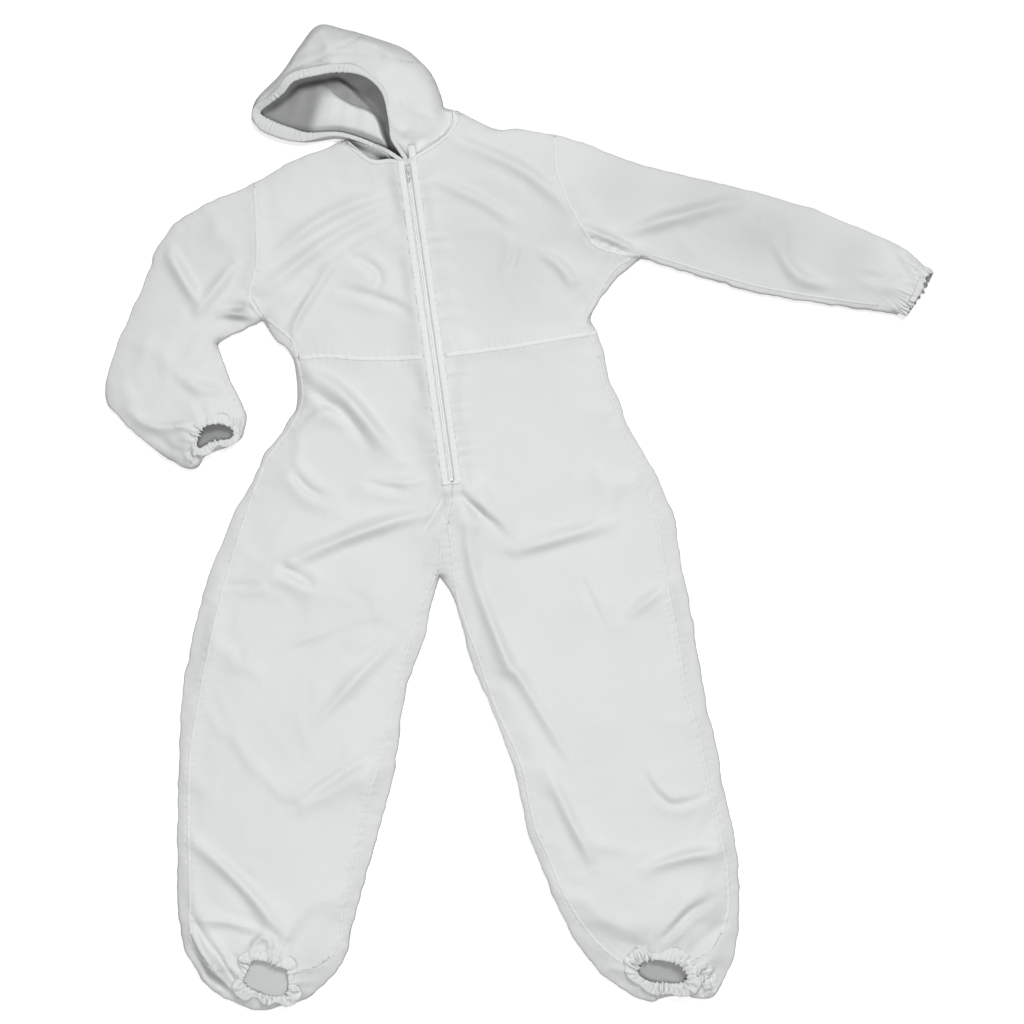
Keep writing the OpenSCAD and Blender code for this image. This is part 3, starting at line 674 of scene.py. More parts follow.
def is_back(mesh):
    """Which faces belong to the back layer."""
    found = np.zeros(len(mesh.polygons), bool)
    mesh.attributes["back"].data.foreach_get("value", found)
    return found


def attach(obj, body):
    """Ride on the torso. For a limb or the hood the bend is read from BENDS but not used, and the piece only
    has its placing baked in.
    """
    if body not in BENDS:
        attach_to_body(obj, body)
        return
    pivot, way, start, end = BENDS[body]
    way = np.array(way) / np.hypot(*way)
    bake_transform(obj)


def surface(verts, faces):
    """A mesh that drop() can look down on."""
    return BVHTree.FromPolygons([Vector(v) for v in verts.tolist()], [tuple(map(int, f)) for f in faces])


def drop(tree, pts, default=20.0):
    """Height of a surface under each point, read across from its neighbours where nothing lies below."""
    z = np.full(len(pts), np.nan)
    for i, (x, y) in enumerate(pts):
        hit = tree.ray_cast(Vector((x, y, 500)), Vector((0, 0, -1)))
        if hit[0] is not None:
            z[i] = hit[0].z
    good = ~np.isnan(z)
    if not good.any():
        return np.full(len(pts), default)
    return np.interp(np.arange(len(pts)), np.flatnonzero(good), z[good])


def strip_faces(rows, cols, closed=False):
    """Quads between rows of points, and from the last row to the first if closed."""
    faces = []
    for i in range(rows if closed else rows - 1):
        j = (i + 1) % rows
        for k in range(cols - 1):
            faces.append((i * cols + k, j * cols + k, j * cols + k + 1, i * cols + k + 1))
    return faces


def ribbon(name, path, tree, width, body, slot="seam", lift=0.8, ripple=0.5, wave=9.0, step=3.0):
    """A seam or tape that follows a surface, with its edges turned down and small puckers across it."""
    path = resampled(path, step)
    n = normals_2d(path)
    across = np.array([-0.5, -0.46, -0.25, 0, 0.25, 0.46, 0.5]) * width
    raised = np.array([-0.5, 0.75, 1, 1.15, 1, 0.75, -0.5])
    run = np.arange(len(path)) * step
    drift = np.cumsum(RNG.normal(0, 0.25, len(path)))
    rows = []
    for k, off in enumerate(across):
        at = path + n * off
        z = drop(tree, at) + lift * raised[k]
        gain = 0.35 + 0.65 * abs(off) / width * 2
        z = z + ripple * np.sin(2 * math.pi * run / wave + drift + 0.6 * k) * gain
        rows.append(np.column_stack([at, z]))
    verts = np.stack(rows, axis=1).reshape(-1, 3)
    attach(piece(name, verts, strip_faces(len(path), len(across)), slot, thick=0.3), body)


def stitches(name, lines, body, gap=STITCH_GAP, length=2.5, width=0.55):
    """Rows of small raised stitches along lines of 3-D points."""
    verts, faces = [], []
    for line in lines:
        path = resampled(line, gap)
        for p, q in zip(path[:-1], path[1:]):
            d = (q - p) / max(np.linalg.norm(q - p), 1e-9)
            side = np.array([-d[1], d[0], 0]) * width / 2
            a, b = p + d * (gap - length) / 2, p + d * (gap + length) / 2
            up = np.array([0, 0, width * 0.6])
            low = np.array([0, 0, -width * 0.5])
            n = len(verts)
            mid = (a + b) / 2
            verts += [a + low, mid + side + low, b + low, mid - side + low]
            verts += [a + up * 0.3, mid + side * 0.6 + up, b + up * 0.3, mid - side * 0.6 + up]
            faces += [(n, n + 3, n + 2, n + 1), (n + 4, n + 5, n + 6, n + 7)]
            faces += [(n + k, n + (k + 1) % 4, n + 4 + (k + 1) % 4, n + 4 + k) for k in range(4)]
    attach(piece(name, verts, faces, "seam", thick=0), body)


def ruffles(run, across, around, lo, hi, n=16):
    """Irregular pleats lo to hi millimetres wide, which close up round a ring of the given length."""
    total = 0
    for _ in range(n):
        count = max(1, round(around / RNG.uniform(lo, hi)))
        lean, phase = RNG.uniform(-0.35, 0.35), RNG.uniform(0, 2 * math.pi)
        total = total + np.sin(2 * math.pi * count * run / around + lean * across + phase)
    return total * math.sqrt(2 / n)


def ruffle_size(size, run, around, columns, least, most):
    """How far a hem ruffles: most in the middle of its section, and in patches along it."""
    swell = np.sin(math.pi * np.linspace(0.12, 0.85, columns))
    return size * swell * np.clip(0.9 + 0.6 * ruffles(run, 0, around, 30, 90, 6), least, most)


def lip(name, loop, body, profile, ruffle, base, width=None, slot="hem", room=None, uneven=0.0):
    """A gathered hem swept anticlockwise along an opening.

    profile holds (outward, up) pairs from the cloth to the inside. base(points) gives the cloth's height.
    width(points) scales the hem and its ruffles from place to place, and uneven does so by chance.
    room(points) is how far out the hem may reach.
    """
    loop = resampled(np.vstack([loop, loop[:1]]), 1.0)[:-1]
    n = normals_2d(loop, True)
    profile = curve(profile, 1.5)
    run, across = np.arange(len(loop))[:, None], np.arange(len(profile))[None, :] * 1.5
    part = np.ones(len(loop)) if width is None else width(loop)
    if uneven:
        part = part * np.clip(1 + uneven * ruffles(run[:, 0], 0, len(loop), 35, 110, 6), 0.55, 1.45)
    amount = ruffle_size(ruffle, run, len(loop), len(profile), 0.25, 1.9) * part[:, None]
    up = amount * ruffles(run, across, len(loop), 4.5, 11)
    push = 0.9 * amount * ruffles(run, across, len(loop), 5, 12) + profile[:, 0] * part[:, None]
    z = np.maximum(base(loop)[:, None] + profile[:, 1] * part[:, None] + up, 0.4)
    if room:
        push = np.minimum(push, room(loop)[:, None])
    flat = loop[:, None, :] - n[:, None, :] * push[:, :, None]
    verts = np.dstack([flat, z]).reshape(-1, 3)
    attach(piece(name, verts, strip_faces(len(loop), len(profile), True), slot), body)


# ---------------------------------------------------------------- body cloth

PANELS = [side + part for part in ("_front_bodice", "_back", "_sleeve", "_front_leg", "_back_leg")
          for side in ("right", "left")]
FAR = 1500                 # beyond any point of the suit
SLEEVE_R_AREA = np.vstack([curve(ARMHOLE_R), [(-470, 250), (-481, 92), (-600, 40), (-FAR, 40), (-FAR, 700)]])
SLEEVE_L_AREA = np.vstack([curve(ARMHOLE_L), [(300, 300), (FAR, 300), (FAR, 900), (63, 900)]])
ABOVE_WAIST = np.vstack([[(-FAR, 284)], curve(WAIST), [(FAR, 350), (FAR, FAR), (-FAR, FAR)]])
RIGHT_HALF = np.vstack([MIDDLE, [(-142, -FAR), (-FAR, -FAR), (-FAR, FAR), (-400, FAR)]])
# between the outer seam and the inseam of each leg, and between the side seams above
FRONT_R = np.vstack([curve(SEAM_R), curve(INSEAM_R)[::-1],
                     [(-100, -60), (0, 400), (-60, 800), (-620, 800), (-480, 400)]])
FRONT_L = np.vstack([curve(SEAM_L), curve(INSEAM_L)[::-1],
                     [(-128, 60), (-300, 400), (-400, 800), (120, 800), (134, 520)]])


def panel_ids(c, is_front):
    """Which panel each point of the front or back layer belongs to, as its place in PANELS."""
    right, above = inside(RIGHT_HALF, c), inside(ABOVE_WAIST, c)
    front = is_front & np.where(right, inside(FRONT_R, c), inside(FRONT_L, c))
    ids = np.where(above, np.where(front, 0, 2), np.where(front, 6, 8)) + np.where(right, 0, 1)
    ids[inside(SLEEVE_R_AREA, c)] = 4
    ids[inside(SLEEVE_L_AREA, c)] = 5
    return ids


def in_body(c):
    """Which points lie on the cloth of the front layer."""
    keep = inside(BODY_LOOP, c) & ~inside(SLIT_LOOP, c)
    for hole in HOLES:
        keep &= ~inside(hole, c)
    return keep


def front_layer():
    """The front layer as one flat triangle mesh, with every seam as a line of edges."""
    lines = [curve(p) for p in (WAIST, ARMHOLE_R, ARMHOLE_L, SEAM_R, SEAM_L, INSEAM_R, INSEAM_L, CENTRE)]
    for path in OUTER_EDGES:
        n = normals_2d(path)
        for away in (1.6, 4.0):
            for side in (path + n * away, path - n * away):
                line = side[2:-2]
                if inside(BODY_LOOP, line[len(line) // 2:][:1])[0]:
                    lines.append(line[inside(BODY_LOOP, line)])
    hems = HOLES + [curve(CUFF_L)]
    grids = []
    for spacing, near_hem in ((GRID, False), (FINE_GRID, True)):
        pts = grid_points(BODY_LOOP, spacing)
        near = np.min([nearest(h, pts)[0] for h in hems], axis=0) < NEAR_HEM
        grids.append((pts[near == near_hem], spacing * 0.6))
    return triangulated([BODY_LOOP, SLIT_LOOP] + HOLES, lines, grids, in_body)


def arrays(mesh):
    """A mesh's points in millimetres, its faces, and the panel of each face."""
    co = np.empty(len(mesh.vertices) * 3)
    mesh.vertices.foreach_get("co", co)
    faces = [tuple(p.vertices) for p in mesh.polygons]
    ids = np.empty(len(faces), np.int32)
    mesh.polygons.foreach_get("material_index", ids)
    return co.reshape(-1, 3) / MM, faces, ids


def evaluated_arrays(obj):
    """The points and faces of an object with its modifiers."""
    mesh = bpy.data.meshes.new_from_object(obj.evaluated_get(bpy.context.evaluated_depsgraph_get()))
    out = arrays(mesh)
    bpy.data.meshes.remove(mesh)
    return out


def refined(verts, faces, ids):
    """One subdivision of a mesh, keeping the panel of every face."""
    obj = mesh_object("refine", verts, faces, ids)
    sub = obj.modifiers.new("sub", "SUBSURF")
    sub.levels = sub.render_levels = 1
    sub.boundary_smooth = "PRESERVE_CORNERS"
    out = evaluated_arrays(obj)
    bpy.data.objects.remove(obj)
    return out[0], np.array(out[1]), out[2]


def eased(values, faces, fixed, times=3):
    """values with their short ripples smoothed away, except where fixed."""
    pairs = np.sort(np.vstack([faces[:, [0, 1]], faces[:, [1, 2]], faces[:, [2, 0]]]), axis=1)
    pairs = np.unique(pairs, axis=0)
    count = np.bincount(pairs.ravel(), minlength=len(values))[:, None]
    for _ in range(times):
        total = np.zeros_like(values)
        np.add.at(total, pairs[:, 0], values[pairs[:, 1]])
        np.add.at(total, pairs[:, 1], values[pairs[:, 0]])
        values = np.where(fixed[:, None], values, (values + total / count) / 2)
    return values


def settle(verts, faces, pinned, core, frames=24, growth=0.006):
    """Cloth simulation: a layer with a little spare cloth, held where pinned, that sinks over a core."""
    scene = bpy.context.scene
    obj = mesh_object("cloth", verts, faces)
    group = obj.vertex_groups.new(name="pin")
    for i, w in enumerate(pinned):
        if w > 0:
            group.add([i], float(w), "REPLACE")
    under = mesh_object("core", core, faces)
    under.modifiers.new("collision", "COLLISION")
    under.collision.thickness_outer = 0.001
    cloth = obj.modifiers.new("cloth", "CLOTH")
    s = cloth.settings
    s.quality = 5
    s.mass = 0.15
    s.tension_stiffness = 30
    s.compression_stiffness = 30
    s.shear_stiffness = 8
    s.bending_stiffness = 4.0
    s.tension_damping = s.compression_damping = 12
    s.air_damping = 3
    s.vertex_group_mass = "pin"
    s.pin_stiffness = 1
    s.shrink_min = -growth
    s.shrink_max = -growth
    s.effector_weights.gravity = 0.5
    cloth.collision_settings.distance_min = 0.0015
    cloth.collision_settings.collision_quality = 2
    cloth.collision_settings.use_self_collision = False
    scene.frame_start, scene.frame_end = 1, frames
    cloth.point_cache.frame_start, cloth.point_cache.frame_end = 1, frames
    for f in range(1, frames + 1):
        scene.frame_set(f)
    out = evaluated_arrays(obj)[0]
    for o in (obj, under):
        bpy.data.objects.remove(o)
    scene.frame_set(1)
    return verts + eased(out - verts, faces, pinned == 1)


def pucker(pts, paths, size, wave, reach):
    """Small ripples across seams, which die out away from them."""
    z = np.zeros(len(pts))
    for path in paths:
        d, along, side = nearest(path, pts)
        drift = waves(np.column_stack([along, along * 0]), 70)
        z += size * np.exp(-d / reach) * np.sin(2 * math.pi * along / wave + 2.5 * drift + side)
    return z


def radial_gathers(pts, loop, size, wave, reach, ring=True):
    """Pleats that run out from a gathered opening."""
    d, along, _ = nearest(loop, pts, closed=ring)
    drift = waves(np.column_stack([along, along * 0]), 90)
    return size * np.exp(-d / reach) * np.sin(2 * math.pi * along / wave + 2.0 * drift)


def add_end_pleats(z, flat, d, at_holes, at_cuff):
    """Adds the pleats at the wrists and ankles to the heights z, in place."""
    for hole in HOLES:
        z += radial_gathers(flat, hole, *at_holes[:3]) * step_up(d, *at_holes[3:])
    z += radial_gathers(flat, curve(CUFF_L), *at_cuff[:3], ring=False) * step_up(d, *at_cuff[3:])


def body_cloth():
    """The front layer of the body, sleeves and legs: folds, settling, then the small pleats at its seams."""
    flat, tris = front_layer()
    ids = panel_ids(flat[tris].mean(1), True)
    d = edge_distance(flat)
    low = mound(d)
    hold = zip_weight(flat)
    z = low + fold_heights(flat) * step_up(d, 4, 30)
    z += UNDULATION * waves(flat, UNDULATION_LEN) * step_up(d, 5, 50)
    add_end_pleats(z, flat, d, *COARSE_PLEATS)
    z = z * (1 - hold) + PLACKET_Z * hold
    verts = np.column_stack([flat, np.maximum(z, EDGE_Z)])
    seams = [curve(p) for p in (WAIST, SEAM_R, SEAM_L, INSEAM_R, INSEAM_L, CENTRE, ARMHOLE_R, ARMHOLE_L)]
    near_seam = np.min([nearest(p, flat)[0] for p in seams], axis=0) < ON_LINE
    hems = np.min([nearest(hole, flat, True)[0] for hole in HOLES]
                  + [nearest(curve(p), flat)[0] for p in (CUFF_L, NECK_RIGHT, NECK_FRONT)], axis=0)
    fixed = (d < ON_LINE) | (hold > 0.9) | (hems < ON_LINE)
    pinned = np.where(fixed, 1.0, np.where(near_seam, SEAM_HOLD, 0.0))
    core = np.column_stack([flat, np.maximum(low * 0.72 - 2, 1.0)])
    verts = settle(verts, tris, pinned, core)
    verts, faces, ids = refined(verts, tris, ids)
    flat = verts[:, :2]
    d = edge_distance(flat)
    soft = step_up(d, 2, 12) * (1 - zip_weight(flat))
    verts[:, 2] += pucker(flat, seams, 0.7, 13, 9) * soft
    beside_zip = np.abs((flat - ZIP_TOP) @ ZIP_SIDE) > PLACKET - 1
    zip_line = [np.array([ZIP_TOP, ZIP_END])]
    for size, wave, reach in ZIP_RIPPLES:
        verts[:, 2] += pucker(flat, zip_line, size, wave, reach) * step_up(d, 2, 12) * beside_zip
    add_end_pleats(verts[:, 2], flat, d, *FINE_PLEATS)
    for centre, reach, height in BUNCHED:
        near = np.exp(-(np.linalg.norm(flat - np.array(centre), axis=1) / reach) ** 4)
        pleats = 0.6 + 0.7 * waves(flat * (1, 0.6), 14, 20) + 0.4 * waves(flat, 8, 20)
        verts[:, 2] += height * near * pleats * step_up(d, 0, 3)
    verts[:, 2] = np.maximum(verts[:, 2], EDGE_Z - 1)
    return verts, faces, ids


def back_layer():
    """The back layer: flat on the floor, and a little higher below the openings."""
    grid = grid_points(BODY_LOOP, BACK_GRID)
    flat, tris = triangulated([BODY_LOOP], [MIDDLE[1:-1]], [(grid, BACK_GAP)], lambda c: inside(BODY_LOOP, c))
    ids = panel_ids(flat[tris].mean(1), False)
    z = BACK_Z + (EDGE_Z - BACK_Z) * np.exp(-edge_distance(flat) / 5) + 0.4 * (1 + waves(flat, 70))
    for hole, rise in zip(HOLES, HOLE_RISE):
        d = np.where(inside(hole, flat), 0, nearest(hole, flat, True)[0])
        z += rise * np.exp(-(d / 22) ** 2)
    z = np.where(edge_distance(flat) < 1, EDGE_Z, np.maximum(z, 0.5))
    return np.column_stack([flat, z]), tris, ids


def panel_body(name):
    """The sleeve or leg that a panel turns with."""
    return name.split("_")[0] + ("_leg" if name.endswith("_leg") else "_sleeve")


def merged(parts):
    """Several meshes as one."""
    verts, faces, n = [], [], 0
    for v, f in parts:
        verts.append(v)
        faces += [tuple(int(i) + n for i in face) for face in f]
        n += len(v)
    return np.vstack(verts), faces


def mark_back(obj, first):
    """Marks the faces from the first one on as the back layer."""
    flags = obj.data.attributes.new("back", "BOOLEAN", "FACE")
    flags.data.foreach_set("value", np.arange(len(obj.data.polygons)) >= first)


def make_panels(front, back):
    """Cuts both layers into the panels, and gives the three open ends painted shade inside."""
    # How light each open end's inside is drawn against its painted shade, 0 darkest
    ends = {"right_sleeve": (HOLES[0], 0.05), "right_leg": (HOLES[1], 0.6), "left_leg": (HOLES[2], 0.3)}
    for k, name in enumerate(PANELS):
        parts = []
        for verts, faces, ids in (front, back):
            if (ids == k).any():
                parts.append(subset(verts, np.asarray(faces), ids == k))
        verts, faces = merged(parts)
        obj = piece(name + "_cloth", verts, faces, "fabric")
        # The painted shade of the patches in SHADES, kept at each point for the fabric's colour
        store(obj.data, "shade", shade(verts[:, :2]))
        mark_back(obj, len(parts[0][1]) if len(parts) > 1 else (0 if "back" in name else len(faces)))
        body = panel_body(name)
        if body in ends:
            hole, layers = ends[body]
            paint_inside_shade(obj, hole, lambda p, layers=layers: np.full(len(p), layers))
        weld(obj)
        attach(obj, body)


def weld(obj):
    """Joins the front and back layers of a panel where they meet at the folded edge."""
    mod = obj.modifiers.new("weld", "WELD")
    mod.merge_threshold = 0.9 * MM
    obj.modifiers.move(len(obj.modifiers) - 1, 0)


# ---------------------------------------------------------------- hood

HOOD_EDGE = curve(HOOD_OUT, 5)
HOOD_LOOP = joined(HOOD_EDGE, NECK_EDGE[::-1])
RIM_LOOP = np.vstack([curve(RIM, 4), [(-216, 645)]])


def rim_height(p):
    """Height of the hood's edge round the face: high at the brow, low along the chin."""
    brow = 19 + 33 * step_up(p[:, 1], 692, 778)
    zip_side = step_up(p[:, 0], -264, -222)
    side = 33 + 14 * step_up(p[:, 1], 640, 745)
    low_left = (1 - step_up(p[:, 0], -430, -330)) * (1 - step_up(p[:, 1], 712, 745))
    return brow * (1 - zip_side) + side * zip_side - 8 * (1 - step_up(p[:, 0], -470, -415)) - 5 * low_left


def rim_width(p):
    """The hem is widest at the brow and the left end, and thin towards the zip."""
    brow = step_up(p[:, 1], 700, 770) * (1 - step_up(p[:, 0], -300, -262))
    low_left = (1 - step_up(p[:, 0], -400, -320)) * (1 - step_up(p[:, 1], 715, 740))
    gap = nearest(HOOD_EDGE, p)[0] / HEM_W
    return (0.5 + 0.6 * np.clip(brow, 0, 1)) * (1 - low_left) + gap * low_left


def hood_top():
    """The hood's upper layer, from its outline up to the rim round the face."""
    grid = grid_points(HOOD_LOOP, HOOD_GRID)
    lines = [curve(CROWN_SEAM, 5), curve(CHEEK_SEAM, 5)]
    flat, tris = triangulated([HOOD_LOOP, RIM_LOOP], lines, [(grid, HOOD_GAP)],
                              lambda c: inside(HOOD_LOOP, c) & ~inside(RIM_LOOP, c))
    d_out = nearest(HOOD_EDGE, flat)[0]
    d_rim = nearest(RIM_LOOP, flat, True)[0]
    d_neck = nearest(NECK_EDGE, flat)[0]
    t = d_out / np.maximum(d_out + d_rim, 1e-6)
    bulge = np.sqrt(np.clip(1 - (1 - np.clip(t * 3, 0, 1)) ** 2, 0, 1))
    z = EDGE_Z + (rim_height(flat) - EDGE_Z) * (0.35 * bulge + 0.65 * t ** 0.8)
    w = np.exp(-(d_neck / 24) ** 2)
    z = z * (1 - w) + np.maximum(drop(BODY_TREE, flat, 30), 8) * w
    seams = np.min([nearest(line, flat)[0] for line in lines], axis=0)
    soft = step_up(np.minimum(d_out, d_rim), 1, 16)
    z += (1.8 * waves(flat, 70) - 2.2 * np.exp(-(seams / 3.5) ** 2)) * soft
    z += hood_folds(flat) * soft
    verts = np.column_stack([flat, z])
    c = flat[tris].mean(1)
    crown = np.vstack([curve(CROWN_SEAM, 5),
                       [(-200, 1000), (-700, 1000), (-700, 600), (-330, 600), (-330, 700), (-440, 720)]])
    cheek = np.vstack([curve(CHEEK_SEAM, 5), [(0, 830), (0, 500), (-330, 500), (-330, 700), (-300, 800)]])
    ids = np.where(inside(crown, c), 0, np.where(inside(cheek, c), 2, 1))
    return refined(verts, tris, ids)


def hood_folds(pts):
    """Height of the hood's own folds."""
    z = np.zeros(len(pts))
    for h, w, line in HOOD_FOLDS:
        d, _, side = nearest(curve(line, 8), pts)
        z += h * np.exp(-(d / w) ** 2) * (1 + 0.5 * np.tanh(d * side / w))
    return z


def lining_height(pts):
    """Height of the hood's inside: two folds of lining that fall off steeply towards the cheek."""
    low = 1 - 0.5 * step_up(pts[:, 1], 712, 786)
    heights = []
    for (line, height, before, past), gain in zip(LINING_FOLDS, (low, 1)):
        s = signed_distance(curve(line, 5), pts)
        heights.append(height * gain * np.where(s < 0, np.exp(-(s / before) ** 2), np.exp(-(s / past) ** 2)))
    return np.max(heights, axis=0) * inside(RIM_LOOP, pts)


def hood_inside_light(pts):
    """How light the hood's inside is drawn, with painted shade: dark under the brow and past the first fold,
    and light towards the chin.
    """
    left = step_up(pts[:, 0] - 0.35 * (pts[:, 1] - 720), -374, -346)
    past = signed_distance(curve(LINING_FOLD, 5), pts)
    return 0.1 + 0.85 * left * (1 - step_up(past, 0, 4)) * (1 - step_up(pts[:, 1], 745, 775))


def hood_bottom():
    """What the hood lies on, with the folds of its lining inside the rim."""
    neck = curve(NECK_RIGHT, 5)[::-1]
    neck_start = int(np.argmin(np.linalg.norm(HOOD_EDGE - np.array([-324, 680]), axis=1)))
    loop = np.vstack([HOOD_EDGE[:neck_start + 1], neck, NECK_EDGE[::-1][1:-1]])
    grid = grid_points(loop, HOOD_GRID)
    flat, tris = triangulated([loop], [], [(grid, HOOD_GAP)], lambda c: inside(loop, c))
    d = nearest(HOOD_EDGE, flat)[0]
    reach = step_up(nearest(RIM_LOOP, flat, True)[0], 0, 12)
    z = BACK_Z + (EDGE_Z - BACK_Z) * np.exp(-d / 4) + lining_height(flat) * reach
    z += (0.6 + 0.8 * waves(flat, 40)) * step_up(d, 1, 10)
    z = np.where(d < 1, EDGE_Z, np.maximum(z, 0.5))
    verts, faces, _ = refined(np.column_stack([flat, z]), tris, np.zeros(len(tris), int))
    return verts, faces


def make_hood():
    """The hood's three panels, its gathered hem and its two seams."""
    verts, faces, ids = hood_top()
    low, low_faces = hood_bottom()
    for k, name in enumerate(("hood_right", "hood_centre", "hood_left")):
        part = subset(verts, faces, ids == k)
        v, f = merged([part, (low, low_faces)] if k == 0 else [part])
        obj = piece(name, v, f, "shaded_hood_cloth" if k < 2 else "fabric")
        if k == 0:
            mark_back(obj, len(part[1]))
            # Painted shade inside the hood, dark under the brow
            paint_inside_shade(obj, RIM_LOOP, hood_inside_light)
        attach(obj, "hood")
    tree = surface(verts, faces)
    profile = [(HEM_W + 1, -1.6), (HEM_W, 0.3), (9, 0.9), (4, 1.0), (0.8, 0.7),
               (-0.6, -0.8), (-0.2, -4), (1.6, -8)]
    lip("hood_hem_casing", RIM_LOOP, "hood", profile, 0.28, lambda p: rim_height(p) - 0.3,
        rim_width, "shaded_hood_cloth")
    for name, line in (("hood_crown_seam", CROWN_SEAM), ("hood_cheek_seam", CHEEK_SEAM)):
        ribbon(name, part_of(curve(line, 3), 4, 4), tree, 3, "hood", "shaded_hood_cloth", lift=0.2, ripple=0.2)


# ---------------------------------------------------------------- seams, hems and zip

def zip_point(along, off, z):
    """A point by its place along and beside the zip."""
    p = ZIP_TOP + ZIP_DIR * along + ZIP_SIDE * off
    return np.array([p[0], p[1], z])


def make_plackets():
    """Two bands beside the zip, each with two rows of stitches. They close up below its end."""
    for side, name, top in ((-1, "right_placket_band", -6), (1, "left_placket_band", -30)):
        runs = np.arange(top, ZIP_LEN + 8, 2.5)
        offs = np.array([4.9, 5.3, 7, 11, 15, PLACKET - 0.6, PLACKET])
        lift = np.array([-1.8, 0.3, 0.9, 1.0, 0.9, 0.6, -0.6])
        drift = np.cumsum(RNG.normal(0, 0.3, len(runs)))
        rows = []
        for run, shift in zip(runs, drift):
            ripple = 0.8 * math.sin(2 * math.pi * run / 11 + shift)
            near = offs - (4.8 * np.exp(-(offs - 4.9) / 3) if run > ZIP_LEN + 1 else 0)
            rows.append([zip_point(run, side * o, PLACKET_Z + h + ripple * (o - 5) / 12)
                         for o, h in zip(near, lift)])
        verts = np.array(rows).reshape(-1, 3)
        attach(piece(name, verts, strip_faces(len(runs), len(offs)), "seam", thick=0.4), "torso")
    lines = []
    for off in (-16.2, -7.2, 7.2, 16.2):
        runs = np.arange(0, ZIP_LEN + 12, STITCH_GAP)
        lines.append(np.array([zip_point(run, off, PLACKET_Z + 1.15) for run in runs]))
    stitches("placket_stitching", lines, "torso")


def make_coils():
    """Each coil is one thread wound round the edge of its tape, 1.3 mm from turn to turn."""
    pitch, wire, base = 1.3, 0.52, 31.9
    for side, name in ((-1, "right_coil_turns"), (1, "left_coil_turns")):
        t = np.arange(0, (ZIP_LEN - 8) / pitch, 1 / 8)
        turn = 2 * math.pi * t
        off = side * (1.75 - 1.45 * np.cos(turn))
        z = base + 0.8 * np.sin(turn)
        run = 5 + pitch * (t + (0.5 if side > 0 else 0))
        centre = np.array([zip_point(r, o, h) for r, o, h in zip(run, off, z)])
        tangent = np.gradient(centre, axis=0)
        tangent /= np.linalg.norm(tangent, axis=1)[:, None]
        flat_out = side * -np.cos(turn)
        out = np.column_stack([flat_out * ZIP_SIDE[0], flat_out * ZIP_SIDE[1], np.sin(turn)])
        out -= (out * tangent).sum(1)[:, None] * tangent
        out /= np.linalg.norm(out, axis=1)[:, None]
        third = np.cross(tangent, out)
        ring = [centre + wire * (math.cos(a) * out + math.sin(a) * third)
                for a in np.arange(0, 6.2, math.pi / 2.5)]
        verts = np.stack(ring, axis=1).reshape(-1, 3)
        n, faces = len(ring), []
        for i in range(0, (len(centre) - 1) * n, n):
            faces += [(i + k, i + (k + 1) % n, i + n + (k + 1) % n, i + n + k) for k in range(n)]
        last = (len(centre) - 1) * n
        faces += [tuple(range(n))[::-1], tuple(range(last, last + n))]
        attach(piece(name, verts, faces, "zip_coil", thick=0), "torso")


def make_seams(tree):
    """Taped seams at the waist and neck, and narrow felled seams everywhere else."""
    def narrow(name, path, width, body):
        ribbon(name, path, tree, width, body, "fine_seam", 0.7, 0.15)

    full = part_of(curve(WAIST, 3), 24, 34)
    off = (full - ZIP_TOP) @ ZIP_SIDE
    ribbon("waist_tape_right", full[off < -PLACKET - 0.5], tree, TAPE_W, "torso", ripple=0.6)
    ribbon("waist_tape_left", full[off > PLACKET + 0.5], tree, TAPE_W, "torso", ripple=0.6)
    ribbon("centre_seam_tape", part_of(curve(CENTRE, 3), 16, 6), tree, 4.5, "torso", "fine_seam", 0.5)
    ribbon("neck_tape_left", part_of(curve(NECK_FRONT, 3), 0, 14), tree, 12, "torso", lift=1.4, ripple=0.4)
    below_hood = part_of(curve(NECK_RIGHT, 3), 12, 2) + np.array([0, -4])
    ribbon("neck_tape_right", below_hood, tree, 8, "torso", "fine_seam", 0.8)
    narrow("right_armhole_tape", part_of(curve(ARMHOLE_R, 3), 20, 10), 6.5, "right_sleeve")
    narrow("left_armhole_tape", part_of(curve(ARMHOLE_L, 3), 16, 10), 6.5, "left_sleeve")
    for side, line in (("right", SEAM_R), ("left", SEAM_L)):
        path = part_of(curve(line, 3), 6, 6)
        y = path[:, 1]
        narrow(side + "_side_seam_tape", path[y >= 286], 6, side + "_sleeve")
        narrow(side + "_outer_seam_tape", path[(y < 289) & (y > -742)], 6, side + "_leg")
    narrow("right_inseam_tape", part_of(curve(INSEAM_R, 3), 14, 75), 5.5, "right_leg")
    narrow("left_inseam_tape", part_of(curve(INSEAM_L, 3), 8, 10), 5.5, "left_leg")
    narrow("right_underarm_tape", curve(UNDERARM_R, 3), 4, "right_sleeve")
    narrow("left_underarm_tape", curve(UNDERARM_L, 3), 4, "left_sleeve")


# A hem's section from the cloth to the inside: outward and up
UP_PROFILE = [(HEM_W + 4, -0.8), (HEM_W, 0.2), (9, 0.9), (6, 1.6), (3, 1.9), (0.8, 1.2),
              (-0.4, -0.8), (-0.2, -4), (2, -9)]
LEFT_WRIST_PROFILE = [(-17, -0.6), (-12, 1.4), (-5, 2.2), (2, 1.8), (6, 0.8),
                      (7, -0.8), (4, -2.6), (-8, -3.4)]


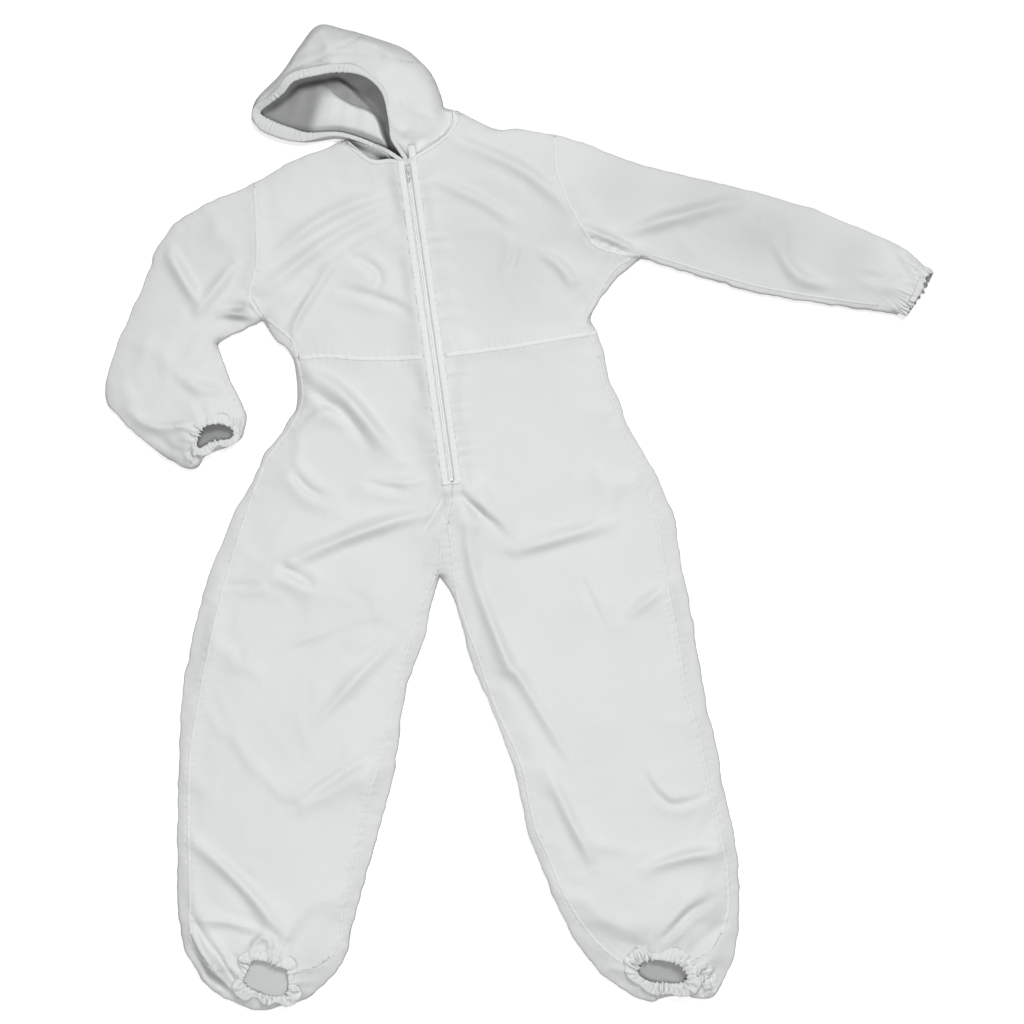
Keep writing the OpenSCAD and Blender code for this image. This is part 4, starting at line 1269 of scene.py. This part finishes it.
def make_hems(tree):
    """Gathered hems: three that face up, and the left wrist's, which closes the sleeve's end."""
    for name, hole, body, size in (("right_wrist_gather", HOLES[0], "right_sleeve", 0.8),
                                   ("right_ankle_gather", HOLES[1], "right_leg", 1.0),
                                   ("left_ankle_gather", HOLES[2], "left_leg", 1.15)):
        hole = closed(hole, 1.6)
        outward = -normals_2d(hole, True)
        z = np.max([drop(tree, hole + outward * out * size) for out in (1, 5, 9, HEM_W)], axis=0)
        z = np.convolve(np.concatenate([z[-8:], z, z[:8]]), np.ones(17) / 17, "valid")

        def level(p, hole=hole, z=z):
            return np.array([z[np.argmin(np.hypot(*(hole - q).T))] for q in p])
        profile = [(out * size, up) for out, up in UP_PROFILE]
        lip(name, hole, body, profile, 1.5, level, lambda p: 1 + 0.5 * step_up(p[:, 0], 270, 305),
            room=lambda p: edge_distance(p) + 1, uneven=0.3)
    make_left_wrist()


def make_left_wrist():
    """A flattened, gathered ring across the end of the left sleeve."""
    (cx, cy), half_w, half_h, turn = WRIST_L
    e = np.array([math.cos(math.radians(turn)), math.sin(math.radians(turn))])
    w = np.array([-e[1], e[0]])
    around, step = 220, 1.2
    u = (np.arange(around) * 2 * math.pi / around)[:, None]
    profile = curve(LEFT_WRIST_PROFILE, step)
    across = np.arange(len(profile))[None, :] * step
    run = u * 35
    amount = ruffle_size(1.1, run, around, len(profile), 0.3, 1.8)
    out = profile[:, 1] + amount * ruffles(run, across, around, 4, 10)
    skew = 4 * np.clip(-np.sin(u), 0, 1) - 12 * np.clip(np.sin(u), 0, 1) * step_up(np.cos(u), 0.1, 0.9)
    push = profile[:, 0] + skew + 1.1 * amount * ruffles(run, across, around, 5, 12)
    x, z = (half_w + out) * np.cos(u), np.maximum(14 + (half_h + out) * np.sin(u), 0.5)
    verts = np.dstack([cx + e[0] * push + w[0] * x, cy + e[1] * push + w[1] * x, z]).reshape(-1, 3)
    faces = strip_faces(around, len(profile), True)
    obj = piece("left_wrist_gather", verts, faces, "hem")
    # The inner faces of the ring get the lining's painted shade
    obj.data.materials.append(MATS["lining"])
    column = np.arange(len(faces)) % (len(profile) - 1)
    obj.data.polygons.foreach_set("material_index", (column > 0.62 * len(profile)).astype(np.int32))
    attach(obj, "left_sleeve")


# ---------------------------------------------------------------- what stands for which CAD node

def stands_for():
    """The CAD nodes that each piece of the visual model replaces."""
    nodes = {"right_back_cloth": ["back_bodice"], "right_back_leg_cloth": ["back_seat", "right_leg_back"],
             "left_back_leg_cloth": ["left_leg_back"], "waist_tape_right": ["waist_seam_tape"],
             "centre_seam_tape": ["centre_front_seam"], "neck_tape_left": ["neck_seam_tape"],
             "hood_hem_casing": ["hood_hem", "hood_elastic"]}
    for part in ("hood_right", "hood_centre", "hood_left"):
        nodes[part] = [part + "_panel"]
    for side in ("right_", "left_"):
        nodes[side + "front_leg_cloth"] = [side + "front_seat", side + "leg_front"]
        nodes[side + "sleeve_cloth"] = [side + "sleeve_front", side + "sleeve_back"]
        for end in ("wrist", "ankle"):
            nodes[side + end + "_gather"] = [side + end + "_hem", side + end + "_elastic"]
        for made, node in (("front_bodice_cloth", "front_bodice"), ("placket_band", "placket"),
                           ("coil_turns", "coil"), ("side_seam_tape", "side_seam"),
                           ("armhole_tape", "armhole_seam"), ("outer_seam_tape", "outer_seam"),
                           ("inseam_tape", "inseam"), ("underarm_tape", "underarm_seam")):
            nodes[side + made] = [side + node]
    return nodes


def finish_cad_nodes():
    """Materials for the nodes that keep their CAD shape."""
    slots = {"zip_metal": ("slider_body", "slider_bail", "pull_tab", "zip_top_stops", "zip_bottom_stop"),
             "zip_tape": ("right_zip_tape", "left_zip_tape")}
    for slot, nodes in slots.items():
        for node in nodes:
            materials = bpy.data.objects[node].data.materials
            materials.clear()
            materials.append(MATS[slot])


# ---------------------------------------------------------------- stage

def staged(name, verts, faces, base, glow):
    """A white surface of the studio, which gives off a little light that doesn't reach the suit."""
    mesh = bpy.data.meshes.new(name)
    mesh.from_pydata(verts, [], faces)
    obj = linked(name, mesh)
    m = bpy.data.materials.new(name + "_white")
    m.use_nodes = True
    inputs = m.node_tree.nodes["Principled BSDF"].inputs
    inputs["Base Color"].default_value = (base, base, base, 1)
    inputs["Roughness"].default_value = 0.9
    inputs["Emission Color"].default_value = (1, 1, 1, 1)
    inputs["Emission Strength"].default_value = glow
    mesh.materials.append(m)
    obj.visible_diffuse = False
    return obj


def make_stage():
    """White floor and backdrop, two soft lights, and the camera straight above."""
    near, far = 2.5, 16.0
    corners = [(-1, -1), (1, -1), (1, 1), (-1, 1)]
    inner, outer, top = ([(x * r, y * r, z) for x, y in corners]
                         for r, z in ((near, 0), (far, 0), (far, far)))
    around = [(k, (k + 1) % 4, (k + 1) % 4 + 4, k + 4) for k in range(4)]
    walls = [tuple(i + 4 for i in face) for face in around]
    staged("floor", inner, [(0, 1, 2, 3)], 0.93, 0.3)
    backdrop = staged("backdrop", inner + outer + top, around + walls, 0.5, 1.0)
    backdrop.visible_shadow = False
    world = bpy.data.worlds.new("world")
    bpy.context.scene.world = world
    world.use_nodes = True
    world.node_tree.nodes["Background"].inputs["Color"].default_value = (1, 1, 1, 1)
    world.node_tree.nodes["Background"].inputs["Strength"].default_value = 0.12
    light("key", (1.8, 4.6, 7.4), 2.3, 525)
    light("overhead", (-0.35, -1.2, 4.3), 1.8, 120)
    cam = bpy.data.cameras.new("camera")
    cam.lens = 100
    cam.sensor_width = 36
    obj = linked("camera", cam)
    obj.location = (-0.0125, 0.0116, 5.09)
    bpy.context.scene.camera = obj
    bpy.context.scene.view_settings.view_transform = "Standard"


def light(name, at, size, watts):
    """A square area light that points at the middle of the suit."""
    data = bpy.data.lights.new(name, "AREA")
    data.size = size
    data.energy = watts
    obj = linked(name, data)
    obj.location = at
    obj.rotation_euler = (-Vector(at)).to_track_quat("-Z", "Y").to_euler()


# ---------------------------------------------------------------- build

make_stage()
FRONT = body_cloth()
BODY_TREE = surface(FRONT[0], FRONT[1])
make_panels(FRONT, back_layer())
make_hood()
make_plackets()
make_coils()
make_seams(BODY_TREE)
make_hems(BODY_TREE)
finish_cad_nodes()
for piece_name, nodes in stands_for().items():
    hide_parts(*nodes)
